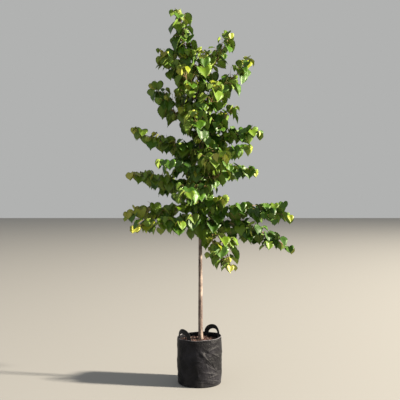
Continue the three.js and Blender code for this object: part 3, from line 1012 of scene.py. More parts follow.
class Tier(Enum):
    """The crown's three levels, as the height where a shoot has to start to be in it."""

    LOWER = 0.0
    MIDDLE = 1275.0
    UPPER = 1630.0

    @staticmethod
    def of(height: float) -> "Tier":
        """Returns the level that a shoot starting at that height is in."""
        return max((tier for tier in Tier if height >= tier.value), key=lambda tier: tier.value)


@dataclass(frozen=True)
class StemKind:
    """A stem's skin, how much lighter its leaves get towards the tip, and how light they are there."""

    sides: int
    ring_gap: float
    young: float
    tip: float


class Grade(Enum):
    """How fine a stem is."""

    SHOOT = StemKind(9, 7.0, 0.44, 0.96)
    TWIG = StemKind(7, 7.0, 0.3, 0.7)
    SPUR = StemKind(6, 9.0, 0.08, 0.5)
    FINE = StemKind(5, 9.0, 0.08, 0.5)


@dataclass
class Spray:
    """A stem with the leaves on it: the unit by which greens are dealt."""

    stem: Stem
    start: float
    grade: Grade
    bright: float
    leaves: list[LeafPlace] = field(default_factory=list)


@dataclass(frozen=True)
class TwigRule:
    """Where finer twigs start, as shares of their stem, their leaves' size, their swing and their rise."""

    shares: tuple[float, ...]
    scale: float
    swing: Pair = (34.0, 66.0)
    tilt: Pair = (-30.0, 44.0)


ON_SHOOT = TwigRule((0.1, 0.3, 0.52, 0.74, 0.9), 0.8)
ON_LEADER = TwigRule((0.02, 0.1, 0.2, 0.32, 0.46, 0.62, 0.8), 0.8)
ON_TWIG = TwigRule((0.45, 0.78), 0.72)
HANGING = TwigRule((0.16, 0.3, 0.44, 0.58, 0.72, 0.86), 0.92, (4.0, 36.0), (-84.0, -46.0))
STANDING = TwigRule((0.3, 0.42, 0.54, 0.66, 0.76), 0.92, (4.0, 40.0), (26.0, 62.0))


@dataclass
class Mass:
    """One shoot with its side twigs, all their leaves, and the node that they stand for."""

    name: str
    shoot: Stem
    bough: float
    seed: int
    first: float
    start: float
    sprays: list[Spray] = field(default_factory=list)

    @property
    def node(self) -> str:
        """Returns the name of the solid that this mass stands for."""
        return f"foliage_{self.name}"

    @property
    def lighter(self) -> float:
        """Returns how much lighter its green is than the rule for the whole crown gives: painted light where
        it is lighter, painted shade where it is darker.
        """
        return SHOOT_PAINTED_LIGHT.get(self.name, 0.0)


# Name, height on the trunk, azimuth, length, rise, how much the rise changes by the tip, and the length of
# the bough that carries the shoot, or 0 where the leaves start at the trunk.
SHOOTS = (
    ("left_1", 1950, 190, 352, 53, -2, 80),
    ("left_2", 1652, 172, 505, 44, 10, 90),
    ("left_3", 1560, 187, 462, 12, 13, 90),
    ("left_4", 1306, 175, 480, 17, -6, 90),
    ("left_5", 1160, 190, 492, 13, -28, 90),
    ("left_6", 1098, 207, 470, 6, -22, 80),
    ("right_1", 1136, 351, 606, 20, -42, 95),
    ("right_2", 1086, 6, 645, 6, -44, 95),
    ("right_3", 1372, 4, 388, 42, -66, 80),
    ("right_4", 1600, 352, 410, 32, -38, 80),
    ("right_5", 1500, 324, 390, 24, -24, 0),
    ("right_6", 1816, 12, 530, 42, 14, 90),
    ("right_7", 1950, 22, 508, 56, 7, 80),
    ("right_8", 1686, 338, 300, 32, 4, 0),
    ("low_front", 1072, 316, 402, -8, -72, 60),
    ("front_1", 1235, 258, 430, 18, -22, 0),
    ("front_2", 1420, 290, 380, 24, -18, 0),
    ("front_3", 1400, 230, 380, 20, -12, 0),
    ("front_4", 1620, 262, 350, 34, -8, 0),
    ("front_5", 1760, 300, 320, 42, 0, 0),
    ("front_6", 1860, 238, 300, 50, 4, 0),
    ("front_7", 1990, 312, 230, 60, 6, 0),
    ("back_1", 1190, 92, 460, 14, -24, 0),
    ("back_2", 1270, 136, 430, 20, -20, 0),
    ("back_3", 1370, 50, 430, 22, -24, 0),
    ("back_4", 1500, 108, 380, 28, -12, 0),
    ("back_5", 1660, 66, 350, 36, -6, 0),
    ("back_6", 1780, 126, 320, 44, 2, 0),
    ("back_7", 1920, 84, 260, 56, 4, 0),
    ("inner_1", 1120, 236, 250, 4, -20, 0),
    ("inner_2", 1190, 300, 250, 16, -10, 0),
    ("inner_3", 1320, 318, 240, 30, -8, 0),
    ("inner_4", 1490, 200, 240, 38, 0, 0),
    ("inner_5", 1540, 18, 230, 40, 0, 0),
    ("inner_6", 1700, 212, 200, 48, 0, 0),
    ("inner_7", 1830, 340, 230, 54, 4, 0),
    ("inner_10", 1270, 268, 230, 44, 0, 0),
    ("inner_11", 1430, 280, 250, 56, 0, 0),
    ("inner_8", 2040, 200, 200, 60, 4, 0),
    ("inner_9", 2060, 20, 210, 62, 6, 0),
)
LEADER = ("leader", 2185, 182, 345, 78, 4, 0)

# Spurs that fill the crown's foot in front of the trunk: height, azimuth, length, rise and the leaves' scale.
LOW_SPURS = (
    (1070, 244, 80, -16, 1.35),
    (1062, 304, 88, -12, 1.35),
    (1092, 268, 60, 0, 1.2),
    (1150, 344, 150, 4, 1.05),
    (1128, 322, 140, -6, 1.05),
    (1112, 8, 165, -4, 1.05),
    (1184, 332, 125, 12, 1.05),
    (1096, 20, 115, -6, 1.05),
    (1100, 338, 135, -12, 1.05),
    (1210, 14, 115, 10, 1.05),
    (1120, 212, 110, -4, 1.05),
)

# Spurs on shoots: the shoot, distance along it, azimuth, length, rise and the leaves' scale.
SHOOT_SPURS = (
    ("leader", 14, 340, 62, 30, 1.2),
    ("leader", 40, 262, 56, 34, 1.2),
    ("leader", 66, 22, 60, 40, 1.2),
    ("leader", 92, 300, 54, 40, 1.1),
    ("leader", 118, 190, 50, 44, 1.1),
    ("leader", 52, 120, 56, 34, 1.2),
    ("left_1", 338, 222, 46, 44, 0.9),
    ("left_1", 346, 176, 44, 62, 0.85),
    ("left_1", 296, 196, 42, 8, 0.95),
    ("left_1", 262, 160, 44, 26, 0.95),
    ("left_1", 236, 236, 46, 18, 0.95),
    ("low_front", 236, 236, 58, -6, 1.0),
    ("low_front", 268, 208, 56, -14, 1.05),
    ("low_front", 300, 196, 58, -24, 1.05),
    ("low_front", 330, 232, 52, -34, 1.05),
    ("low_front", 356, 188, 50, -30, 1.0),
    ("low_front", 376, 262, 40, -50, 0.95),
)

# Painted light and shade per shoot: how much lighter (painted light) or darker (painted shade) a shoot's
# green is than the rule for the whole crown gives.
SHOOT_PAINTED_LIGHT = {"low_front": 0.24, "front_1": -0.34, "front_2": 0.14, "front_3": -0.5, "left_6": -0.14}

# How light a leaf may be at most to get each green. What is lighter still gets the young green.
TONE_LIMITS = ((0.24, Tone.DEEP), (0.56, Tone.MATURE), (0.86, Tone.FRESH), (1.12, Tone.BRIGHT))

# The size of a shoot's own leaves, where it isn't 1.
SHOOT_SCALE = {"low_front": 0.96}

# What is tried until a leaf has room: how much more it hangs, and how far it turns about the upright.
LEAF_TRIES = ((0, 0), (14, 24), (-14, -24), (26, -40), (-24, 40), (6, 70), (10, -70), (34, 10))


@dataclass
class Foliage:
    """The crown: boughs, shoots, twigs and leaves, grown from the trunk by one seeded rule."""

    STALK = 0.36
    SPUR_REACH = (np.array((-190.0, -190.0, 900.0)), np.array((230.0, 200.0, 2260.0)))
    GOLDEN_ANGLE = 137.5

    trunk: Trunk
    gap: float = 0.3
    limb_foot: float = 3.6
    limb_short: float = 300.0
    limb_thicker: float = 0.0052
    limb_tip: float = 1.9
    twig_first: float = 0.14
    twig_spacing: float = 0.24
    twig_last: float = 0.72
    twig_angle: float = 48.0
    twig_turn: float = -18.0
    twig_bare: float = 0.4
    twig_share: float = 0.46
    twig_longest: float = 170.0
    twig_shortest: float = 58.0
    twig_radius: float = 2.2
    twig_tip: float = 1.3
    fine_begin: float = 0.12
    fine_bare: float = 0.45
    fine_share: float = 0.6
    fine_longest: float = 96.0
    fine_shortest: float = 34.0
    fine_turn: float = -14.0
    fine_radii: Pair = (1.5, 1.0)
    spur_bare: float = 0.42
    spur_turn: float = -12.0
    spur_darker: float = 0.06
    spur_fade: float = 0.35
    spur_scale: float = 0.9
    trunk_spur_radii: Pair = (2.2, 1.2)
    shoot_spur_radii: Pair = (1.9, 1.1)
    spurs_from: float = 1060.0
    spurs_to: float = 2180.0
    spurs_azimuth: float = 250.0
    node_swell: float = 0.24
    node_reach: float = 5.0
    stem_end: float = 0.55
    bough_sides: int = 18
    bough_ring_gap: float = 2.4
    stalk_swing: Pair = (-14.0, 14.0)
    stalk_rise: Pair = (-12.0, 36.0)
    blade_hang: Pair = (34.0, 72.0)
    blade_swing: Pair = (-26.0, 26.0)
    blade_roll: Pair = (-20.0, 20.0)
    leaf_spacing: float = 51.0
    first_after_bough: float = 6.0
    first_after_trunk: float = 42.0
    blade: float = 96.0
    twig_scale: float = 0.85
    shown_scale: float = 0.95
    young_from: float = 0.72
    green: float = 0.44
    green_drift: float = 0.08
    green_draw: float = 0.27
    # Painted light and shade on the greens: sprays get lighter on the crown's left and higher up, and darker
    # on its right and at its back.
    painted_light_left: float = 0.22
    painted_shade_right: float = 0.16
    painted_shade_back: float = 0.03
    painted_light_up: float = 0.03
    half_width: float = 400.0
    middle_height: float = 1500.0
    slack: float = 14.0
    masses: list[Mass] = field(default_factory=list)
    spurs: list[Spray] = field(default_factory=list)

    def limb_from(self, row: tuple, seed: int) -> Mass:
        """Makes the shoot of one row of the table, with nothing on it yet.

        Args:
            row: the row.
            seed: the seed of the mass.

        Returns:
            The mass.
        """
        name, height, azimuth, length, rise, turn, bough = row
        leader = name == LEADER[0]
        radius = self.limb_foot + self.limb_thicker * (length - self.limb_short)
        if leader:
            radius = float(self.trunk.radius(self.trunk.top))
        shoot = Stem(self.trunk.axis(float(height)), azimuth, length, rise, turn, radius, self.limb_tip)
        start = bough + self.gap
        first = start + (self.first_after_bough if bough or leader else self.first_after_trunk)
        return Mass(name, shoot, bough, seed, first, start)

    def sideways(self, stem: Array, angle: float) -> Array:
        """Finds a direction that points sideways from a stem.

        Args:
            stem: the stem's direction.
            angle: how far it is turned round the stem from level.

        Returns:
            The direction, of length 1.
        """
        level = stem if math.hypot(stem[0], stem[1]) > 0.05 else np.array((1.0, 0.0, stem[2]))
        side = unit(np.cross(level, UP))
        top = unit(np.cross(side, stem))
        return side * math.cos(math.radians(angle)) + top * math.sin(math.radians(angle))

    def leaf_place(self, dice: Dice, root: Array, stem: Array, around: float, blade: float) -> LeafPlace:
        """Places a leaf: its stalk leaves the stem sideways, and its blade hangs with its face outward.

        Args:
            dice: the numbers to draw from.
            root: where the stalk starts.
            stem: the stem's direction there.
            around: the stalk's side, in degrees round the stem.
            blade: the blade's length.

        Returns:
            The leaf's place.
        """
        mixed = stem * 0.5 + self.sideways(stem, around)
        flat = mixed if math.hypot(mixed[0], mixed[1]) > 0.1 else stem
        azimuth = math.degrees(math.atan2(flat[1], flat[0]))
        jitter = dice.between(*self.stalk_swing)
        stalk = heading(azimuth + jitter, 16 * mixed[2] + dice.between(*self.stalk_rise))
        hang = dice.between(*self.blade_hang)
        face = azimuth + dice.between(*self.blade_swing)
        return LeafPlace(root, stalk, hang, face, dice.between(*self.blade_roll), blade)

    def leaf_size(self, share: float) -> float:
        """Returns a blade's length at a share of the way along a shoot: young and small at the tip."""
        return self.blade * (0.88 + 0.15 * share if share < 0.78 else 1.0 - 1.8 * (share - 0.78))

    def leaves_along(self, dice: Dice, stem: Stem, first: float, scale: float) -> list[LeafPlace]:
        """Places the leaves of a stem, one to each side in turn and one at its tip.

        Args:
            dice: the numbers to draw from.
            stem: the stem.
            first: where its first leaf is.
            scale: the leaves' size beside a main shoot's.

        Returns:
            The leaves' places.
        """
        steep = abs(math.sin(math.radians(stem.rise + stem.turn / 2))) ** 2
        count = max(1, math.floor((stem.length - first) / self.leaf_spacing + 0.5))
        places = []
        for index in range(count + 1):
            distance = min(first + (stem.length - first) * index / count, stem.length - 2)
            around = (0 if index % 2 else 180) + dice.between(-28, 28) + steep * index * 47.5
            blade = self.leaf_size(distance / stem.length) * scale * dice.between(0.88, 1.1)
            root = stem.points_at(distance)
            places.append(self.leaf_place(dice, root, stem.direction_at(distance), around, blade))
        return places

    def side_twigs(self, dice: Dice, shoot: Stem, first: float) -> list[Stem]:
        """Places a shoot's side twigs, left and right in turn and shorter towards the tip.

        Args:
            dice: the numbers to draw from.
            shoot: the shoot.
            first: where its first leaf is.

        Returns:
            The twigs.
        """
        twigs = []
        share = self.twig_first
        while share < self.twig_last:
            distance = first + (shoot.length - first) * share
            side = 1 if len(twigs) % 2 else -1
            longest = min(self.twig_longest, self.twig_share * (shoot.length - distance))
            length = longest * dice.between(0.8, 1.15)
            azimuth = shoot.azimuth + side * self.twig_angle * dice.between(0.75, 1.2)
            rise = shoot.rise + shoot.turn * distance / shoot.length + dice.between(-24, 32)
            foot = shoot.points_at(distance)
            twigs.append(Stem(foot, azimuth, length, rise, self.twig_turn, self.twig_radius, self.twig_tip))
            share += self.twig_spacing
        return [twig for twig in twigs if twig.length >= self.twig_shortest]

    def brightness(self, stem: Stem, dice: Dice) -> float:
        """Works out how light a spray's green is, from painted light and shade by its side and its height,
        and from its own draw: lighter on the crown's left and higher up, darker on its right and at its back.

        Args:
            stem: the spray's stem.
            dice: the numbers to draw from.

        Returns:
            The lightness, about 0 to 1.
        """
        outward = stem.points[-1]
        slope = self.painted_light_left if outward[0] < 0.0 else self.painted_shade_right
        # Painted light on the left and up high, painted shade on the right and at the back.
        painted_side_light = -slope * outward[0] / self.half_width - self.painted_shade_back * outward[1] / self.half_width
        high = self.painted_light_up * (outward[2] - self.middle_height) / 1000.0
        return self.green + painted_side_light + high + dice.between(-self.green_draw, self.green_draw)

    def tone(self, bright: float, share: float, grade: Grade) -> Tone:
        """Returns a leaf's green, from its spray's lightness, its place along its stem and its grade."""
        level = bright + grade.value.young * max(0.0, share - self.young_from) / (1.0 - self.young_from)
        return next((tone for limit, tone in TONE_LIMITS if level < limit), Tone.YOUNG)

    def settle(self, space: Space, spray: Spray, places: list[LeafPlace], box: tuple, room: float) -> None:
        """Gives each of a spray's leaves its green and its room, and drops those that have none.

        Args:
            space: what stands already.
            spray: the spray that gets the leaves.
            places: the leaves' places.
            box: the corners of the reach that they stay in.
            room: the least distance from another leaf.
        """
        for index, place in enumerate(places):
            share = (index + 1) / len(places)
            bright = spray.bright + self.green_drift * math.sin(7.3 * index + 11.0 * spray.bright)
            place.tone = self.tone(bright, share, spray.grade)
            place.blade *= self.shown_scale
            for more, further in LEAF_TRIES:
                tried = replace(place, hang=place.hang + more, face=place.face + further)
                samples = tried.samples()
                if not space.blocks(samples, *box, room):
                    space.add_leaf(samples)
                    spray.leaves.append(tried)
                    break

    def reach(self, node: str) -> tuple[Array, Array]:
        """Returns the corners of a solid's box, a little widened, as the reach of what stands for it."""
        low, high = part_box(node)
        return np.array(low) / MM - self.slack, np.array(high) / MM + self.slack

    def grow(self) -> None:
        """Grows the crown: first what the solids have, then finer twigs and leaves within the same reach."""
        rows = [(LEADER, len(SHOOTS) + 1)] + [(row, index + 1) for index, row in enumerate(SHOOTS)]
        self.masses = [self.limb_from(row, seed) for row, seed in rows]
        space = Space(self.trunk)
        pending: list[tuple[Spray, list[LeafPlace], tuple]] = []
        for mass in self.masses:
            pending.extend(self.start_mass(space, mass))
        for spray, places, box in pending:
            self.settle(space, spray, places, box, Space.LEAF_ROOM)
        self.grow_set_spurs(space)
        for mass in self.masses:
            self.refine(space, mass)
        self.grow_spurs(space)
        count = sum(len(spray.leaves) for mass in self.masses for spray in mass.sprays)
        LOG.info("crown: %d leaves on shoots, %d on spurs", count, sum(len(s.leaves) for s in self.spurs))

    def start_mass(self, space: Space, mass: Mass) -> list[tuple[Spray, list[LeafPlace], tuple]]:
        """Grows the stems that a mass has in its solid too, and places their leaves.

        Args:
            space: what stands already.
            mass: the mass.

        Returns:
            Each spray with its leaves' places and the reach that they stay in.
        """
        dice = Dice(mass.seed)
        tint = Dice(mass.seed + 300)
        box = self.reach(mass.node)
        space.add_stem(mass.shoot)
        places = self.leaves_along(dice, mass.shoot, mass.first, SHOOT_SCALE.get(mass.name, 1.0))
        bright = self.brightness(mass.shoot, tint) + mass.lighter
        pending = [(Spray(mass.shoot, mass.start - 3.0, Grade.SHOOT, bright), places, box)]
        for twig in self.side_twigs(dice, mass.shoot, mass.first):
            places = self.leaves_along(dice, twig, twig.length * self.twig_bare, self.twig_scale)
            spray = Spray(twig, 0.0, Grade.TWIG, self.brightness(twig, tint) + mass.lighter)
            space.add_stem(twig)
            pending.append((spray, places, box))
        mass.sprays.extend(spray for spray, _, _ in pending)
        return pending

    def twig_rules(self, mass: Mass, main: bool) -> list[TwigRule]:
        """Chooses the rules by which a stem gets its finer twigs.

        Args:
            mass: the mass that the stem is in.
            main: whether it is the shoot itself.

        Returns:
            The rules, one after the other.
        """
        if not main:
            return [ON_TWIG]
        rules = [ON_LEADER if mass.name == LEADER[0] else ON_SHOOT]
        if mass.bough and Tier.of(mass.shoot.foot[2]) is Tier.LOWER:
            rules.append(HANGING)
        if mass.name == "right_1":
            rules.append(STANDING)
        return rules

    def refine(self, space: Space, mass: Mass) -> None:
        """Carries a mass to finer twigs, with smaller leaves in the room that is left.

        Args:
            space: what stands already.
            mass: the mass.
        """
        dice = Dice(mass.seed + 100)
        box = self.reach(mass.node)
        for spray in list(mass.sprays):
            stem = spray.stem
            main = stem is mass.shoot
            begin = mass.first if main else self.fine_begin * stem.length
            starts = [(share, rule) for rule in self.twig_rules(mass, main) for share in rule.shares]
            for index, (share, rule) in enumerate(starts):
                distance = begin + (stem.length - begin) * share
                reach = self.fine_share * (stem.length - distance) + self.fine_shortest
                length = min(self.fine_longest, reach) * dice.between(0.75, 1.2)
                azimuth = stem.azimuth + (1 if index % 2 == 0 else -1) * dice.between(*rule.swing)
                rise = stem.rise + stem.turn * distance / stem.length + dice.between(*rule.tilt)
                twig = Stem(stem.points_at(distance), azimuth, length, rise, self.fine_turn, *self.fine_radii)
                fine = Spray(twig, 0.0, Grade.FINE, self.brightness(twig, dice) + mass.lighter)
                places = self.leaves_along(dice, twig, twig.length * self.fine_bare, rule.scale)
                self.settle(space, fine, places, box, Space.FINE_ROOM)
                if fine.leaves:
                    space.add_stem(twig)
                    mass.sprays.append(fine)
            tip = stem.points_at(stem.length - 1.0)
            for turn in (40.0, 210.0):
                place = self.leaf_place(dice, tip, stem.direction_at(stem.length), turn, dice.between(36, 58))
                young = Spray(stem, 0.0, Grade.FINE, spray.grade.value.tip + mass.lighter)
                self.settle(space, young, [place], box, Space.TIP_ROOM)
                spray.leaves.extend(young.leaves)

    def add_spur(
        self, space: Space, dice: Dice, stem: Stem, scale: float, box: tuple, sprays: list[Spray]
    ) -> None:
        """Grows one short leafy spur, unless none of its leaves has room.

        Args:
            space: what stands already.
            dice: the numbers to draw from.
            stem: the spur's wood.
            scale: the leaves' size beside a main shoot's.
            box: the corners of the reach that it stays in.
            sprays: the list that takes it.
        """
        spray = Spray(stem, 0.0, Grade.SPUR, self.brightness(stem, dice) - self.spur_darker)
        places = self.leaves_along(dice, stem, stem.length * self.spur_bare, scale)
        self.settle(space, spray, places, box, Space.FINE_ROOM)
        if spray.leaves:
            space.add_stem(stem)
            sprays.append(spray)

    def grow_set_spurs(self, space: Space) -> None:
        """Grows the spurs that have a set place, at the crown's foot and on some shoots.

        Args:
            space: what stands already.
        """
        dice = Dice(778)
        for height, azimuth, length, rise, scale in LOW_SPURS:
            foot = self.trunk.axis(float(height))
            stem = Stem(foot, azimuth, length, rise, self.spur_turn, *self.trunk_spur_radii)
            self.add_spur(space, dice, stem, scale, self.SPUR_REACH, self.spurs)
        named = {mass.name: mass for mass in self.masses}
        for name, distance, azimuth, length, rise, scale in SHOOT_SPURS:
            mass = named[name]
            foot = mass.shoot.points_at(float(distance))
            stem = Stem(foot, azimuth, length, rise, self.spur_turn, *self.shoot_spur_radii)
            self.add_spur(space, dice, stem, scale, self.reach(mass.node), mass.sprays)

    def grow_spurs(self, space: Space) -> None:
        """Grows short leafy spurs on the trunk, between the shoots.

        Args:
            space: what stands already.
        """
        dice = Dice(777)
        height = self.spurs_from
        azimuth = self.spurs_azimuth
        while height < self.spurs_to:
            length = dice.between(70, 150) * (1.0 - self.spur_fade * (height - self.spurs_from) / 1100.0)
            rise = dice.between(14, 56)
            foot = self.trunk.axis(height)
            stem = Stem(foot, azimuth, length, rise, self.spur_turn, *self.trunk_spur_radii)
            self.add_spur(space, dice, stem, self.spur_scale, self.SPUR_REACH, self.spurs)
            height += dice.between(17, 31)
            azimuth += self.GOLDEN_ANGLE + dice.between(-16, 16)

    def bough_shape(self, mass: Mass) -> Shape:
        """Makes a bough with its collar and the bark's relief.

        Args:
            mass: the mass that it carries.

        Returns:
            The bough's shape.
        """
        stem = mass.shoot
        distances = np.arange(4.0, mass.bough + 5.0, self.bough_ring_gap)
        angle = round_angles(self.bough_sides)[None, :]
        collar = 0.55 * stem.foot_radius * np.exp(-np.maximum(distances - 13.0, 0.0) / 8.0)
        rough = 0.22 * Ripples(seed=mass.seed, count=7, turns=5, wave=22.0).at(angle, distances[:, None])
        ridge = 0.45 * np.exp(-(((distances - 0.62 * mass.bough) / 2.6) ** 2))
        reach = (stem.radius_at(distances) + collar + ridge)[:, None] + rough
        return tube(stem.points_at(distances), reach, self.bough_sides)

    def stem_shape(self, spray: Spray) -> Shape:
        """Makes a stem with a swelling at each leaf.

        Args:
            spray: the stem and its leaves.

        Returns:
            The stem's shape.
        """
        stem = spray.stem
        count = max(4, int((stem.length - spray.start) / spray.grade.value.ring_gap))
        distances = np.linspace(spray.start, stem.length, count)
        path = stem.points_at(distances)
        radii = np.asarray(stem.radius_at(distances), dtype=float)
        for leaf in spray.leaves:
            off = np.linalg.norm(path - leaf.root, axis=1)
            radii += self.node_swell * radii * np.exp(-((off / self.node_reach) ** 2))
        radii[-1] *= self.stem_end
        return tube(path, radii, spray.grade.value.sides)

    def bud_shape(self, leaf: LeafPlace, stem: Stem) -> Shape:
        """Returns the bud between a leaf's stalk and its stem."""
        along = unit(leaf.stalk + 1.1 * unit(stem.points[-1] - stem.points[0]))
        return egg(leaf.root + along * 4.6, along, 7.2, 1.7, 5)

    def stalk_shape(self, leaf: LeafPlace, rib: Array) -> Shape:
        """Makes a leaf's stalk, which bends into the blade and runs on under it as the midrib.

        Args:
            leaf: the leaf's place.
            rib: points along the blade's own midrib.

        Returns:
            The stalk's shape.
        """
        joint, _ = leaf.frame()
        start = leaf.root
        reach = leaf.blade * self.STALK
        pull = start + leaf.stalk * reach * 0.7 + UP * 0.06 * leaf.blade
        shares = np.linspace(0.0, 1.0, 7)[:, None]
        curve = (1 - shares) ** 2 * start + 2 * shares * (1 - shares) * pull + shares**2 * joint
        path = np.vstack((curve, rib))
        thick = np.concatenate((np.linspace(1.15, 0.78, 7), np.linspace(0.72, 0.3, len(rib))))
        thick[0] = 1.7
        return tube(path, thick * max(0.6, leaf.blade / 85.0), 5)

    def blade_shape(
        self, leaf: LeafPlace, base: Shape, curl: float, cup: float, flip: int
    ) -> tuple[Shape, Array]:
        """Bends a blade and puts it in its place.

        Args:
            leaf: the leaf's place.
            base: the flat-lying blade.
            curl: how much its tip curls down.
            cup: how much its sides lift.
            flip: 1, or -1 for the mirror image.

        Returns:
            The blade's shape and the points of the midrib under it.
        """
        joint, axes = leaf.frame()
        points = base.points.copy()
        points[:, 0] *= flip

        def bent(spots: Array) -> Array:
            """Returns points of the blade at their places on the tree."""
            lift = cup * spots[:, 0] ** 2 - curl * np.maximum(spots[:, 1], 0.0) ** 2
            return joint + ((spots + UP * lift[:, None]) * leaf.blade) @ axes

        ahead = np.linspace(0.03, 0.8, 5)
        under = np.stack((0.0 * ahead, ahead, 0.0 * ahead - 0.013), axis=-1)
        faces = base.faces if flip > 0 else [group[:, ::-1] for group in base.faces]
        return Shape(bent(points), faces), bent(under)

    def dress(self, piece: Piece, masses: list[Mass]) -> None:
        """Hides the solids of the masses that a piece of the crown stands for."""
        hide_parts(*[mass.node for mass in masses])

    def build_boughs(self) -> None:
        """Makes the boughs as one piece."""
        gathered = Gathered()
        limbs = [mass for mass in self.masses if mass.bough]
        for mass in limbs:
            gathered.add(self.bough_shape(mass))
        piece = gathered.build("bough_bark", [BarkFinish("bough_bark_rind").material()])
        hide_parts(*[f"bough_{mass.name}" for mass in limbs])

    def build(self) -> None:
        """Makes the leaves, stalks and twigs of each tier."""
        bases = [
            LeafShape(0.19, 0.014, 0.03, 21).shape(),
            LeafShape(0.24, 0.02, -0.05, 22).shape(),
            LeafShape(0.14, 0.028, 0.06, 23).shape(),
            LeafShape(0.29, 0.018, 0.0, 24).shape(),
        ]
        blades = [finish.material() for tone in Tone for finish in tone.finishes()]
        tones = list(Tone)
        wood = TWIG_WOOD.material()
        rind = STALK_RIND.material()
        draw = Dice(4242)
        for tier in Tier:
            masses = [mass for mass in self.masses if Tier.of(mass.shoot.foot[2]) is tier]
            sprays = [spray for mass in masses for spray in mass.sprays]
            sprays += [spray for spray in self.spurs if Tier.of(spray.stem.foot[2]) is tier]
            leaves = Gathered()
            stalks = Gathered()
            twigs = Gathered()
            for spray in sprays:
                twigs.add(self.stem_shape(spray))
                for leaf in spray.leaves:
                    base = bases[int(draw.roll() * len(bases))]
                    curl = draw.between(0.02, 0.2)
                    cup = draw.between(-0.15, 0.3)
                    flip = 1 if draw.roll() < 0.5 else -1
                    shape, rib = self.blade_shape(leaf, base, curl, cup, flip)
                    first = 2 * tones.index(leaf.tone)
                    leaves.add(shape, [first + side for side in base.slots])
                    stalks.add(self.stalk_shape(leaf, rib))
                    twigs.add(self.bud_shape(leaf, spray.stem))
            name = tier.name.lower()
            self.dress(leaves.build(f"leaves_{name}", blades), masses)
            self.dress(stalks.build(f"leaf_stalks_{name}", [rind]), masses)
            self.dress(twigs.build(f"twigs_{name}", [wood]), masses)


# ---- bag, handles and compost


